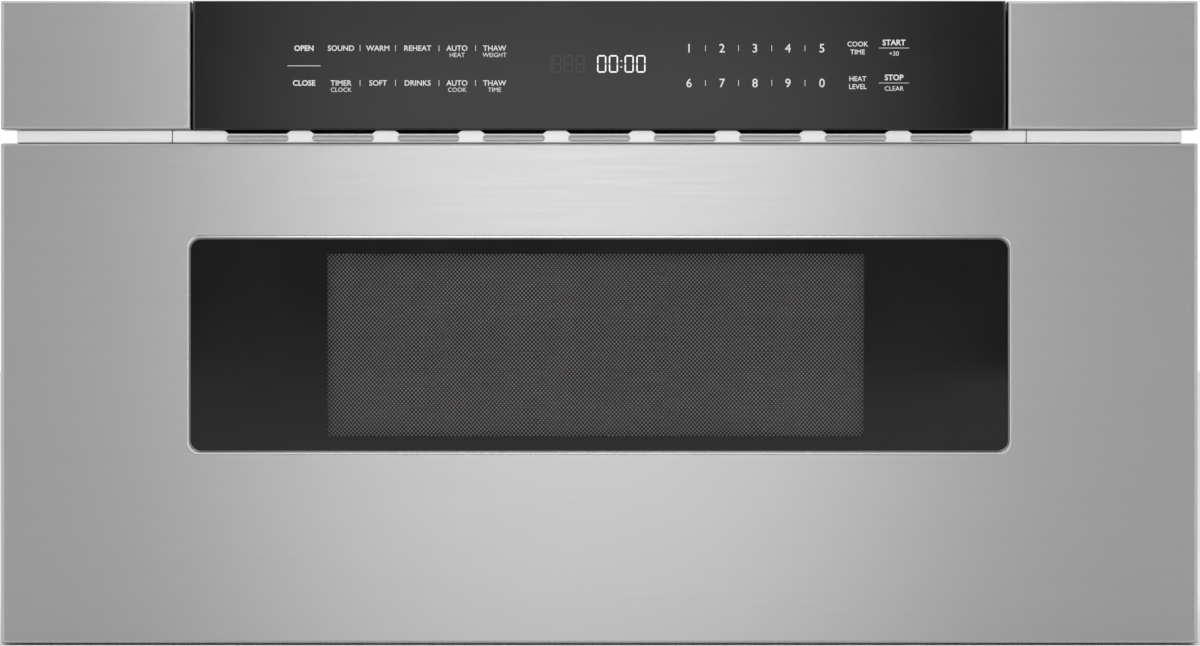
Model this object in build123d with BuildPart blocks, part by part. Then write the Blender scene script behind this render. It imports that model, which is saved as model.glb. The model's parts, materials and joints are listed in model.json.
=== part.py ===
from build123d import *

import os
from math import atan2, cos, pi, radians, sin, sqrt, tan

# A built-in microwave drawer, 30-inch class, in millimetres.
# +X is the user's right, +Y runs from the face to the back, +Z is up.
# The origin is the middle of the footprint, on the plane that the base plate rests on.
# Depths are counted from the front face towards the back.

os.makedirs("parts", exist_ok=True)

# ---- The face ----
FRONT_WIDTH = 760.0
DRAWER_FRONT_HEIGHT = 317.5
REVEAL_HEIGHT = 8.9
BAND_HEIGHT = 81.6
FRONT_LIFT = 0.5
FRONT_PROJECTION = 36.0
REAR_TRIM = 2.0

# ---- Sheet metal, edges and clearances ----
PANEL_SHEET = 1.0
PANEL_CORNER = 0.9
PANEL_EDGE = 2.2
FRAME_SHEET = 1.2
CASE_SHEET = 1.0
BASE_SHEET = 1.2
CAVITY_SHEET = 1.2
FIT_GAP = 0.3
HOLE_PLAY = 0.25
RUN_PLAY = 0.05

# ---- Control band ----
GLASS_WIDTH = 513.0
GLASS_THICKNESS = 4.0
GLASS_CORNER = 1.5
GLASS_BEVEL = 0.3
GLASS_MARGIN = 0.5
WING_GAP = 2.6
HOUSING_RIM = 1.5
HOUSING_WALL = 2.2
HOUSING_SETBACK = 0.8
DISPLAY_WIDTH = 70.0
DISPLAY_HEIGHT = 18.0
DISPLAY_X = -3.0
DISPLAY_RISE = 2.6
BOARD_THICKNESS = 1.6
TOUCH_BOARD_WIDTH = 480.0
TOUCH_BOARD_HEIGHT = 60.0
RIBBON_WIDTH = 20.0
RIBBON_X = 60.0

# ---- Reveal strips and air louvres ----
REVEAL_SETBACK = 5.0
REVEAL_SHADOW = 0.5
REVEAL_BEND = 0.5
VENT_RAIL_WIDTH = 542.0
SEAM_GAP = 0.6
LOUVRE_COUNT = 9
LOUVRE_PITCH = 54.3
LOUVRE_WIDTH = 43.0
LOUVRE_SLOPE = 3.0
LOUVRE_OPENING = 2.1
LOUVRE_PRESS = 0.8
LOUVRE_PRESS_R = 3.6
LOUVRE_LIP = 0.65
LOUVRE_LIP_R = 0.5

# ---- Window ----
WINDOW_WIDTH = 524.5
WINDOW_HEIGHT = 139.8
WINDOW_CORNER = 8.0
WINDOW_DROP = 128.0
BEZEL_WIDTH = 3.0
BEZEL_DEPTH = 3.0
BEZEL_FLANGE = 4.0
BEZEL_ROUND = 0.9
WINDOW_GLASS_THICKNESS = 4.0
SCREEN_WIDTH = 341.0
SCREEN_HEIGHT = 116.2
SCREEN_X = -2.2
SCREEN_THICKNESS = 0.8
SCREEN_LAP = 10.0
FILM_THICKNESS = 1.0

# ---- Mounting frame and case ----
FRAME_INSET = 10.0
FRAME_TOP_INSET = 5.0
FRAME_CORNER = 3.0
FRAME_LAP = 20.0
FRAME_TOP_LAP = 11.5
CASE_LIFT = 2.0
MOUNT_HOLE_R = 2.5
MOUNT_HOLE_INSET = 9.0
MOUNT_HOLE_LOW = 60.0
MOUNT_HOLE_RISE = 230.0
SCREW_R = 2.0
SCREW_HEAD_R = 3.8
SCREW_HEAD_HEIGHT = 1.7
SCREW_LENGTH = 6.0
SCREW_LOW_Z = 60.0
SCREW_TOP_DROP = 42.0
REAR_FLANGE = 14.0
BASE_UPSTAND = 14.0
VENT_WIDTH = 4.0
VENT_LENGTH = 68.0
VENT_PITCH = 12.0
RIB_RISE = 1.5
RIB_WIDTH = 12.0
RIB_TAPER = 45.0
RIB_MARGIN = 24.0
TOP_RIBS = 4
SIDE_RIBS = 2
PANEL_RIB_LENGTH = 420.0
PANEL_RIB_X = -20.0
PANEL_RIB_INSET = 38.0

# ---- Oven box ----
CAVITY_WIDTH = 440.0
CAVITY_HEIGHT = 182.0
CAVITY_DEPTH = 405.0
DOME_SIDE = 184.0
DOME_RISE = 22.0
DOME_CORNER = 12.0
STIRRER_COVER_SIDE = 200.0
STIRRER_COVER_THICKNESS = 1.2
STIRRER_RADIUS = 78.0
STIRRER_VANES = 4
STIRRER_SHAFT_R = 3.0
STIRRER_MOTOR_R = 25.0
STIRRER_MOTOR_HEIGHT = 18.0
WAVEGUIDE_WIDTH = 90.0
WAVEGUIDE_HEIGHT = 40.0
WAVEGUIDE_OVERRUN = 55.0
DUCT_WIDTH = 480.0
DUCT_LENGTH = 56.0
SUPPORT_X = 185.0
SUPPORT_WIDTH = 36.0
SUPPORT_INSET = 40.0

# ---- Drawer ----
TRAVEL = 381.0
PAN_MARGIN = 27.0
PAN_SHEET = 1.2
PAN_REBATE = 2.0
SKIN_CLEARANCE = 3.0
COVER_CLEARANCE = 1.0
COVER_WALL = 2.0
COVER_LAP = 2.0
TUB_WALL = 2.5
TUB_SIDE_GAP = 6.0
TUB_FLOOR_GAP = 4.0
TUB_BACK_GAP = 16.0
TUB_FLOOR = 3.0
TUB_HEIGHT = 132.0
TUB_RIM = 3.0
TUB_CORNER = 6.0
CERAMIC_LEDGE = 14.0
CERAMIC_THICKNESS = 4.0
CERAMIC_GAP = 3.0
CERAMIC_CORNER = 6.0
CERAMIC_EDGE = 0.6
BUMPER_R = 5.0
BUMPER_INSET_X = 30.0
BUMPER_INSET_Z = 15.0

# ---- Runners: three-member ball slides ----
ARM_GAP = 2.0
ARM_SHEET = 2.0
ARM_FOOT = 16.0
SLIDE_THICKNESS = 12.7
SLIDE_HEIGHT = 45.0
SLIDE_SHEET = 1.2
SLIDE_RISE = 33.5
SLIDE_SETBACK = 2.8
SLIDE_STAGGER = 2.0
SLIDE_REAR_ROOM = 17.0
OUTER_FLANGE = 9.5
MIDDLE_WEB_U = 2.6
MIDDLE_FLANGE_U = 11.2
INNER_FLANGE = 7.5
LIP = 1.9
BALL_R = 1.6
CAGE_SHEET = 0.8
CAGE_WIDTH = 5.0
CAGE_LENGTH = 180.0
CAGE_BALLS = 12
CAGE_SETBACK = 110.0
BRACKET_SHEET = 2.0
BRACKET_FOOT = 24.0
BRACKET_RISE = 17.0

# ---- Drive ----
GEAR_MODULE = 1.5
GEAR_TEETH = 18
GEAR_WIDTH = 10.0
PRESSURE_ANGLE = 20.0
BACKLASH = 0.12
PINION_SETBACK = 17.8
PINION_AXIS_Z = 34.5
RACK_WIDTH = 10.0
RACK_SPINE = 12.0
RACK_RUNOUT = 14.0
RACK_FOOT_WIDTH = 32.0
RACK_FOOT_SHEET = 2.0
SHAFT_R = 4.0
SHAFT_RUN = 12.0
SHAFT_STUB = 1.0
MOTOR_R = 18.0
MOTOR_LENGTH = 58.0

# ---- Interlock ----
LATCH_GAP = 3.3
LATCH_DROP = 31.0
LATCH_SETBACK = 20.8
LATCH_FINGER = 8.0
LATCH_PLATE = (20.0, 24.0)
LATCH_SLOT = 14.0
PLUNGER_R = 1.6
PLUNGER_TRAVEL = 1.2
PLUNGER_STANDOUT = 2.4
PLUNGER_SHANK = 3.0
PLUNGER_TIP = 0.5
SWITCH_BODY = (10.0, 26.0, 16.0)

# ---- Rear compartment ----
REAR_ROOM = 145.6
REAR_PARTS_SETBACK = 76.6
FAN_SIDE = 120.0
FAN_DEPTH = 38.0
FAN_X = -150.0
FAN_Z = 200.0
FAN_BORE_R = 56.0
FAN_HUB_R = 20.0
FAN_SHAFT_R = 2.5
FAN_BLADES = 7
FAN_BLADE_TWIST = 38.0
BUSH_INSET = 50.0
BUSH_DROP = 62.0
BUSH_BORE_R = 5.0
BUSH_NECK_R = 9.0
BUSH_FLANGE_R = 13.0
BUSH_LENGTH = 14.0
TRANSFORMER_X = 170.0
CAPACITOR_INSET = 60.0

# ---- Depths, worked out from the face backwards ----
FRAME_BACK = FRONT_PROJECTION + FRAME_SHEET
CAVITY_BACK = FRAME_BACK + CAVITY_DEPTH
CAVITY_MIDDLE = FRAME_BACK + CAVITY_DEPTH / 2
REAR_PARTS_DEPTH = CAVITY_BACK + CAVITY_SHEET + REAR_PARTS_SETBACK
PANEL_FRONT = CAVITY_BACK + CAVITY_SHEET + REAR_ROOM
CASE_BACK = PANEL_FRONT + CASE_SHEET
OVERALL_DEPTH = CASE_BACK + REAR_TRIM
FACE_Y = -OVERALL_DEPTH / 2
SKIN_BACK = FRONT_PROJECTION - SKIN_CLEARANCE
WINDOW_GLASS_BACK = BEZEL_DEPTH + WINDOW_GLASS_THICKNESS
SCREEN_BACK = WINDOW_GLASS_BACK + SCREEN_THICKNESS
PAN_WALL_BACK = SCREEN_BACK + PAN_SHEET
PAN_FLANGE_FRONT = SKIN_BACK - PAN_REBATE
PAN_BACK = PAN_FLANGE_FRONT + PAN_SHEET
COVER_BACK = FRONT_PROJECTION - COVER_CLEARANCE
TUB_BACK = CAVITY_BACK - TUB_BACK_GAP
SLIDE_FRONT = FRAME_BACK + SLIDE_SETBACK
SLIDE_BACK = CAVITY_BACK + SLIDE_REAR_ROOM
PINION_DEPTH = FRAME_BACK + PINION_SETBACK
LATCH_REACH = FRAME_BACK + LATCH_SETBACK

# ---- Heights, worked out from the floor and from the drawer front's top edge ----
DRAWER_TOP_Z = FRONT_LIFT + DRAWER_FRONT_HEIGHT
DRAWER_MID_Z = FRONT_LIFT + DRAWER_FRONT_HEIGHT / 2
BAND_BOTTOM_Z = DRAWER_TOP_Z + REVEAL_HEIGHT
BAND_MID_Z = BAND_BOTTOM_Z + BAND_HEIGHT / 2
VENT_Z = (DRAWER_TOP_Z + BAND_BOTTOM_Z) / 2
FRAME_TOP_Z = BAND_BOTTOM_Z + BAND_HEIGHT - FRAME_TOP_INSET
CASE_HEIGHT = FRAME_TOP_Z - FRAME_TOP_LAP
WINDOW_Z = DRAWER_TOP_Z - WINDOW_DROP
CAVITY_FLOOR_Z = WINDOW_Z - CAVITY_HEIGHT / 2
CAVITY_TOP_Z = WINDOW_Z + CAVITY_HEIGHT / 2
CAVITY_UNDER_Z = CAVITY_FLOOR_Z - CAVITY_SHEET
ROOF_Z = CAVITY_TOP_Z + CAVITY_SHEET
DOME_TOP_Z = ROOF_Z + DOME_RISE
WAVEGUIDE_TOP_Z = DOME_TOP_Z + WAVEGUIDE_HEIGHT
TUB_BOTTOM_Z = CAVITY_FLOOR_Z + TUB_FLOOR_GAP
TUB_TOP_Z = TUB_BOTTOM_Z + TUB_HEIGHT
SLIDE_Z = CAVITY_FLOOR_Z + SLIDE_RISE
LATCH_Z = CAVITY_TOP_Z - LATCH_DROP
SCREW_HIGH_Z = CASE_HEIGHT - SCREW_TOP_DROP

# ---- Widths, worked out from the face and from the oven box outwards ----
FRAME_WIDTH = FRONT_WIDTH - 2 * FRAME_INSET
CASE_WIDTH = FRAME_WIDTH - 2 * FRAME_LAP
BASE_HALF = CASE_WIDTH / 2 - CASE_SHEET - FIT_GAP
CAVITY_HALF = CAVITY_WIDTH / 2
PAN_WIDTH = CAVITY_WIDTH + 2 * PAN_MARGIN
PAN_HEIGHT = CAVITY_HEIGHT + 2 * PAN_MARGIN
PAN_CORNER = WINDOW_CORNER
TUB_HALF = CAVITY_HALF - TUB_SIDE_GAP
ARM_INNER_X = PAN_WIDTH / 2 + ARM_GAP
ARM_OUTER_X = ARM_INNER_X + ARM_SHEET
SLIDE_OUTER_X = ARM_OUTER_X + SLIDE_THICKNESS
LATCH_X = SLIDE_OUTER_X + BRACKET_FOOT + LATCH_GAP
BUSH_X = CASE_WIDTH / 2 - BUSH_INSET
BUSH_Z = CASE_HEIGHT - BUSH_DROP
CAPACITOR_X = CASE_WIDTH / 2 - CAPACITOR_INSET

SIDES = (("left", -1), ("right", 1))


def facing_front(depth):
    """The plane at a depth: local x is +X, local y is +Z, and the normal points to the front."""
    return Plane.XZ.offset(-(FACE_Y + depth))


def at_depth(depth):
    """The Y of a depth behind the face."""
    return FACE_Y + depth


def side_of(hand, near, far):
    """The (low, high) X of a stretch from near to far on one side: -1 is left and +1 is right."""
    return tuple(sorted((hand * near, hand * far)))


def about(middle, width):
    """The (low, high) of a stretch about its middle."""
    return (middle - width / 2, middle + width / 2)


def block(x, depth, z, mode=Mode.ADD):
    """A box given by its (low, high) X, depth and Z."""
    with Locations(((x[0] + x[1]) / 2, at_depth((depth[0] + depth[1]) / 2), (z[0] + z[1]) / 2)):
        Box(x[1] - x[0], depth[1] - depth[0], z[1] - z[0], mode=mode)


def panel_pan(middle, width, height, back):
    """A folded pan, open at its back: its front edges are bent round, and meet in mitres at the corners."""
    with BuildSketch(facing_front(0)) as outside:
        with Locations(middle):
            Rectangle(width, height)
    extrude(outside.sketch, amount=-back)
    fillet(faces().sort_by(Axis.Y)[0].edges(), PANEL_EDGE)
    with BuildSketch(facing_front(0)) as outline:
        with Locations(middle):
            RectangleRounded(width, height, PANEL_CORNER)
    extrude(outline.sketch, amount=-back, mode=Mode.INTERSECT)
    with BuildSketch(facing_front(PANEL_SHEET)) as inside:
        with Locations(middle):
            RectangleRounded(width - 2 * PANEL_SHEET, height - 2 * PANEL_SHEET, PANEL_CORNER / 2)
    extrude(inside.sketch, amount=-back, mode=Mode.SUBTRACT)


# =====================================================================
# Drawer front
# =====================================================================

# Brushed stainless pan: one folded sheet with rounded edges and the window cut out.
with BuildPart() as drawer_skin:
    panel_pan((0, DRAWER_MID_Z), FRONT_WIDTH, DRAWER_FRONT_HEIGHT, SKIN_BACK)
    with BuildSketch(facing_front(0)):
        with Locations((0, WINDOW_Z)):
            RectangleRounded(WINDOW_WIDTH, WINDOW_HEIGHT, WINDOW_CORNER)
    extrude(amount=-PANEL_SHEET, mode=Mode.SUBTRACT)
drawer_skin.part.label = "drawer_skin"
export_step(drawer_skin.part, "parts/drawer_skin.step")

# Bright trim round the window: a rounded lip in front, a flange behind the skin.
BEZEL_OUTSIDE = (WINDOW_WIDTH - 2 * HOLE_PLAY, WINDOW_HEIGHT - 2 * HOLE_PLAY)
BEZEL_INSIDE = (WINDOW_WIDTH - 2 * BEZEL_WIDTH, WINDOW_HEIGHT - 2 * BEZEL_WIDTH)
WINDOW_SEAT = (WINDOW_WIDTH + 2 * BEZEL_FLANGE, WINDOW_HEIGHT + 2 * BEZEL_FLANGE)
with BuildPart() as window_bezel:
    with BuildSketch(facing_front(0)):
        with Locations((0, WINDOW_Z)):
            RectangleRounded(*BEZEL_OUTSIDE, WINDOW_CORNER - HOLE_PLAY)
    extrude(amount=-BEZEL_DEPTH)
    with BuildSketch(facing_front(PANEL_SHEET)):
        with Locations((0, WINDOW_Z)):
            RectangleRounded(*WINDOW_SEAT, WINDOW_CORNER)
    extrude(amount=-(BEZEL_DEPTH - PANEL_SHEET))
    with BuildSketch(facing_front(0)):
        with Locations((0, WINDOW_Z)):
            RectangleRounded(*BEZEL_INSIDE, WINDOW_CORNER - BEZEL_WIDTH / 2)
    extrude(amount=-BEZEL_DEPTH, mode=Mode.SUBTRACT)
    fillet(window_bezel.faces().filter_by(Axis.Y).sort_by(Axis.Y)[0].edges(), BEZEL_ROUND)
window_bezel.part.label = "window_bezel"
export_step(window_bezel.part, "parts/window_bezel.step")

# Tempered window glass, printed black outside the clear area.
with BuildPart() as window_glass:
    with BuildSketch(facing_front(BEZEL_DEPTH)):
        with Locations((0, WINDOW_Z)):
            RectangleRounded(*WINDOW_SEAT, WINDOW_CORNER)
    extrude(amount=-WINDOW_GLASS_THICKNESS)
window_glass.part.label = "window_glass"
export_step(window_glass.part, "parts/window_glass.step")

# Microwave screen: a thin sheet, perforated in fine staggered rows that this solid leaves plain.
SCREEN_SHEET = (SCREEN_WIDTH + 2 * SCREEN_LAP, SCREEN_HEIGHT + 2 * SCREEN_LAP)
with BuildPart() as perforated_screen:
    with BuildSketch(facing_front(WINDOW_GLASS_BACK)):
        with Locations((SCREEN_X, WINDOW_Z)):
            Rectangle(*SCREEN_SHEET)
    extrude(amount=-SCREEN_THICKNESS)
perforated_screen.part.label = "perforated_screen"
export_step(perforated_screen.part, "parts/perforated_screen.step")

# Deep-drawn inner pan: it carries the screen, forms the seal round the oven mouth and closes the skin.
with BuildPart() as door_pan:
    with BuildSketch(facing_front(SCREEN_BACK)):
        with Locations((0, WINDOW_Z)):
            RectangleRounded(PAN_WIDTH, PAN_HEIGHT, PAN_CORNER)
    extrude(amount=-(PAN_BACK - SCREEN_BACK))
    with BuildSketch(facing_front(PAN_FLANGE_FRONT)):
        with Locations((0, DRAWER_MID_Z)):
            RectangleRounded(
                FRONT_WIDTH - 2 * (PANEL_SHEET + FIT_GAP),
                DRAWER_FRONT_HEIGHT - 2 * (PANEL_SHEET + FIT_GAP),
                PANEL_CORNER,
            )
    extrude(amount=-PAN_SHEET)
    with BuildSketch(facing_front(PAN_WALL_BACK)):
        with Locations((0, WINDOW_Z)):
            RectangleRounded(PAN_WIDTH - 2 * PAN_SHEET, PAN_HEIGHT - 2 * PAN_SHEET, PAN_CORNER - PAN_SHEET)
    extrude(amount=-PAN_BACK, mode=Mode.SUBTRACT)
    with BuildSketch(facing_front(SCREEN_BACK)):
        with Locations((SCREEN_X, WINDOW_Z)):
            Rectangle(SCREEN_WIDTH, SCREEN_HEIGHT)
    extrude(amount=-PAN_SHEET, mode=Mode.SUBTRACT)
door_pan.part.label = "door_pan"
export_step(door_pan.part, "parts/door_pan.step")

# Pale polymer film that keeps steam and crumbs off the screen from the oven side.
with BuildPart() as window_film:
    with BuildSketch(facing_front(PAN_WALL_BACK)):
        with Locations((SCREEN_X, WINDOW_Z)):
            Rectangle(*SCREEN_SHEET)
    extrude(amount=-FILM_THICKNESS)
window_film.part.label = "window_film"
export_step(window_film.part, "parts/window_film.step")

# Moulded cover over the microwave choke: a sleeve round the mouth and a ring over the channel.
COVER_INSIDE = (CAVITY_WIDTH - 2 * COVER_LAP, CAVITY_HEIGHT - 2 * COVER_LAP)
COVER_REACH = PAN_SHEET + FIT_GAP
with BuildPart() as choke_cover:
    with BuildSketch(facing_front(COVER_BACK - COVER_WALL)):
        with Locations((0, WINDOW_Z)):
            RectangleRounded(
                PAN_WIDTH - 2 * COVER_REACH, PAN_HEIGHT - 2 * COVER_REACH, PAN_CORNER - COVER_REACH
            )
    extrude(amount=-COVER_WALL)
    with BuildSketch(facing_front(PAN_WALL_BACK)):
        with Locations((0, WINDOW_Z)):
            Rectangle(COVER_INSIDE[0] + 2 * COVER_WALL, COVER_INSIDE[1] + 2 * COVER_WALL)
    extrude(amount=-(COVER_BACK - PAN_WALL_BACK))
    with BuildSketch(facing_front(PAN_WALL_BACK)):
        with Locations((0, WINDOW_Z)):
            Rectangle(*COVER_INSIDE)
    extrude(amount=-COVER_BACK, mode=Mode.SUBTRACT)
choke_cover.part.label = "choke_cover"
export_step(choke_cover.part, "parts/choke_cover.step")

# Rubber buffers on the pan's flange, a hair short of the mounting frame when shut.
with BuildPart() as bumpers:
    with BuildSketch(facing_front(PAN_BACK)):
        with Locations((0, DRAWER_MID_Z)):
            with GridLocations(
                FRONT_WIDTH - 2 * BUMPER_INSET_X, DRAWER_FRONT_HEIGHT - 2 * BUMPER_INSET_Z, 2, 2
            ):
                Circle(BUMPER_R)
    extrude(amount=-(FRONT_PROJECTION - FIT_GAP - PAN_BACK))
bumpers.part.label = "bumpers"
export_step(bumpers.part, "parts/bumpers.step")

# =====================================================================
# Drawer body
# =====================================================================

# Moulded tub on the pan: three walls, a turned-out rim and a floor with a ledge for the ceramic plate.
TUB_LENGTH = TUB_BACK - PAN_WALL_BACK
TUB_MIDDLE = (TUB_BACK + PAN_WALL_BACK) / 2
TUB_INSIDE = (2 * TUB_HALF - 2 * TUB_WALL, TUB_LENGTH - 2 * TUB_WALL)
with BuildPart() as drawer_tub:
    block((-TUB_HALF, TUB_HALF), (PAN_WALL_BACK, TUB_BACK), (TUB_BOTTOM_Z, TUB_TOP_Z))
    back_corners = drawer_tub.edges().filter_by(Axis.Z).group_by(Axis.Y)[-1]
    lower_corners = drawer_tub.edges().filter_by(Axis.Y).group_by(Axis.Z)[0]
    fillet(back_corners + lower_corners, TUB_CORNER)
    block(
        (-TUB_HALF - TUB_RIM, TUB_HALF + TUB_RIM),
        (COVER_BACK + FIT_GAP, TUB_BACK + TUB_RIM),
        (TUB_TOP_Z - TUB_WALL, TUB_TOP_Z),
    )
    block(
        about(0, TUB_INSIDE[0]),
        (PAN_WALL_BACK, TUB_BACK - TUB_WALL),
        (TUB_BOTTOM_Z + TUB_FLOOR, TUB_TOP_Z),
        mode=Mode.SUBTRACT,
    )
    with BuildSketch(Plane.XY.offset(TUB_BOTTOM_Z)):
        with Locations((0, at_depth(TUB_MIDDLE))):
            RectangleRounded(
                TUB_INSIDE[0] - 2 * CERAMIC_LEDGE, TUB_INSIDE[1] - 2 * CERAMIC_LEDGE, CERAMIC_LEDGE
            )
    extrude(amount=TUB_FLOOR, mode=Mode.SUBTRACT)
drawer_tub.part.label = "drawer_tub"
export_step(drawer_tub.part, "parts/drawer_tub.step")

# Glass-ceramic floor that lies on the tub's ledge.
with BuildPart() as ceramic_floor:
    with BuildSketch(Plane.XY.offset(TUB_BOTTOM_Z + TUB_FLOOR)):
        with Locations((0, at_depth(TUB_MIDDLE))):
            RectangleRounded(TUB_INSIDE[0] - 2 * CERAMIC_GAP, TUB_INSIDE[1] - 2 * CERAMIC_GAP, CERAMIC_CORNER)
    extrude(amount=CERAMIC_THICKNESS)
    fillet(ceramic_floor.faces().sort_by(Axis.Z)[-1].edges(), CERAMIC_EDGE)
ceramic_floor.part.label = "ceramic_floor"
export_step(ceramic_floor.part, "parts/ceramic_floor.step")

# Steel side arms from the drawer front back along the oven box, each with a foot on the pan's flange.
ARM_BACK = TUB_BACK + SLIDE_REAR_ROOM - TUB_RIM
with BuildPart() as drawer_arms:
    for side, hand in SIDES:
        arm_z = about(SLIDE_Z, SLIDE_HEIGHT)
        block(side_of(hand, ARM_INNER_X, ARM_OUTER_X), (PAN_BACK, ARM_BACK), arm_z)
        block(side_of(hand, ARM_OUTER_X, ARM_OUTER_X + ARM_FOOT), (PAN_BACK, PAN_BACK + ARM_SHEET), arm_z)
drawer_arms.part.label = "drawer_arms"
export_step(drawer_arms.part, "parts/drawer_arms.step")

# =====================================================================
# Runners
# =====================================================================

BALL_ROOM = 2 * (BALL_R + RUN_PLAY)
OUTER_FACE = SLIDE_HEIGHT / 2
OUTER_INSIDE = OUTER_FACE - SLIDE_SHEET
MIDDLE_FACE = OUTER_INSIDE - BALL_ROOM
MIDDLE_INSIDE = MIDDLE_FACE - SLIDE_SHEET
INNER_FACE = MIDDLE_INSIDE - BALL_ROOM


def slide_strip(hand, u, v):
    """One stretch of a slide's section: u runs from the bracket to the arm, v up from its centre."""
    x = side_of(hand, SLIDE_OUTER_X - u[1], SLIDE_OUTER_X - u[0])
    with Locations(((x[0] + x[1]) / 2, SLIDE_Z + (v[0] + v[1]) / 2)):
        Rectangle(u[1] - u[0], v[1] - v[0])


def slide_section(hand, web_u, flange_u, face, lip_u=None):
    """A channel: a web, two flanges whose outer faces stand at +-face, and the lips turned in at lip_u."""
    slide_strip(hand, web_u, (-face, face))
    for up in (-1, 1):
        slide_strip(hand, flange_u, tuple(sorted((up * face, up * (face - SLIDE_SHEET)))))
        if lip_u:
            slide_strip(hand, lip_u, tuple(sorted((up * face, up * (face - SLIDE_SHEET - LIP)))))


# Fixed members, one each side, screwed to the runner brackets.
with BuildPart() as outer_rails:
    with BuildSketch(facing_front(SLIDE_FRONT)):
        for side, hand in SIDES:
            outer_lip = (OUTER_FLANGE - SLIDE_SHEET, OUTER_FLANGE)
            slide_section(hand, (0, SLIDE_SHEET), (0, OUTER_FLANGE), OUTER_FACE, outer_lip)
    extrude(amount=-(SLIDE_BACK - SLIDE_FRONT))
outer_rails.part.label = "outer_rails"
export_step(outer_rails.part, "parts/outer_rails.step")

# Middle members, which travel half as far as the drawer.
MIDDLE_FRONT = SLIDE_FRONT + SLIDE_STAGGER
for side, hand in SIDES:
    with BuildPart() as middle_rail:
        with BuildSketch(facing_front(MIDDLE_FRONT)):
            slide_section(
                hand,
                (MIDDLE_WEB_U, MIDDLE_WEB_U + SLIDE_SHEET),
                (MIDDLE_WEB_U, MIDDLE_FLANGE_U),
                MIDDLE_FACE,
                (MIDDLE_FLANGE_U - SLIDE_SHEET, MIDDLE_FLANGE_U),
            )
        extrude(amount=-(SLIDE_BACK - 4 * SLIDE_STAGGER - MIDDLE_FRONT))
    middle_rail.part.label = f"{side}_middle_rail"
    export_step(middle_rail.part, f"parts/{side}_middle_rail.step")

# Inner members, screwed to the drawer's arms.
INNER_FRONT = MIDDLE_FRONT + SLIDE_STAGGER
with BuildPart() as inner_rails:
    with BuildSketch(facing_front(INNER_FRONT)):
        for side, hand in SIDES:
            slide_section(
                hand,
                (SLIDE_THICKNESS - SLIDE_SHEET, SLIDE_THICKNESS),
                (SLIDE_THICKNESS - INNER_FLANGE, SLIDE_THICKNESS),
                INNER_FACE,
            )
    extrude(amount=-(ARM_BACK - SLIDE_STAGGER - INNER_FRONT))
inner_rails.part.label = "inner_rails"
export_step(inner_rails.part, "parts/inner_rails.step")


def ball_cages(ball_u, ball_v):
    """Four retainer strips with their balls, above and below the slide's centre on each side."""
    x = SLIDE_OUTER_X - ball_u
    y = at_depth(SLIDE_FRONT + CAGE_SETBACK + CAGE_LENGTH / 2)
    places = [(hand * x, y, SLIDE_Z + up * ball_v) for side, hand in SIDES for up in (-1, 1)]
    with Locations(*places):
        Box(CAGE_WIDTH, CAGE_LENGTH, CAGE_SHEET)
        with GridLocations(0, CAGE_LENGTH / CAGE_BALLS, 1, CAGE_BALLS):
            Cylinder(BALL_R + HOLE_PLAY / 2, 2 * CAGE_SHEET, mode=Mode.SUBTRACT)
    with Locations(*places):
        with GridLocations(0, CAGE_LENGTH / CAGE_BALLS, 1, CAGE_BALLS):
            Sphere(BALL_R)


with BuildPart() as outer_ball_cages:
    ball_cages(OUTER_FLANGE / 2, OUTER_INSIDE - BALL_ROOM / 2)
outer_ball_cages.part.label = "outer_ball_cages"
export_step(outer_ball_cages.part, "parts/outer_ball_cages.step")

with BuildPart() as inner_ball_cages:
    ball_cages((MIDDLE_WEB_U + MIDDLE_FLANGE_U) / 2, MIDDLE_INSIDE - BALL_ROOM / 2)
inner_ball_cages.part.label = "inner_ball_cages"
export_step(inner_ball_cages.part, "parts/inner_ball_cages.step")

# Folded brackets that stand on the base plate and carry the fixed members.
BRACKET_TOP_Z = SLIDE_Z + SLIDE_HEIGHT / 2 + BRACKET_RISE
with BuildPart() as rail_brackets:
    for side, hand in SIDES:
        reach = (SLIDE_FRONT - CASE_SHEET, SLIDE_BACK + CASE_SHEET)
        upright = side_of(hand, SLIDE_OUTER_X, SLIDE_OUTER_X + BRACKET_SHEET)
        foot = side_of(hand, SLIDE_OUTER_X, SLIDE_OUTER_X + BRACKET_FOOT)
        block(upright, reach, (BASE_SHEET, BRACKET_TOP_Z))
        block(foot, reach, (BASE_SHEET, BASE_SHEET + BRACKET_SHEET))
        block(foot, reach, (BRACKET_TOP_Z - BRACKET_SHEET, BRACKET_TOP_Z))
rail_brackets.part.label = "rail_brackets"
export_step(rail_brackets.part, "parts/rail_brackets.step")

# =====================================================================
# Drive: rack under the oven box, pinion and geared motor behind the frame
# =====================================================================

TOOTH_PITCH = pi * GEAR_MODULE
FLANK = tan(radians(PRESSURE_ANGLE))
DEDENDUM_SHARE = 1.25
DEDENDUM = DEDENDUM_SHARE * GEAR_MODULE
PITCH_R = GEAR_MODULE * GEAR_TEETH / 2
PITCH_LINE_Z = PINION_AXIS_Z + PITCH_R
RACK_TIP_Z = PITCH_LINE_Z - GEAR_MODULE
RACK_ROOT_Z = PITCH_LINE_Z + DEDENDUM
RACK_TOP_Z = RACK_ROOT_Z + RACK_SPINE
RACK_BACK = PINION_DEPTH + TRAVEL + RACK_RUNOUT
GAPS_IN_FRONT = int((PINION_DEPTH - PAN_BACK) / TOOTH_PITCH) - 1
GAPS_BEHIND = int((RACK_BACK - PINION_DEPTH - TOOTH_PITCH / 2) / TOOTH_PITCH)
GAP_HALF = TOOTH_PITCH / 4 + BACKLASH / 2


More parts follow.
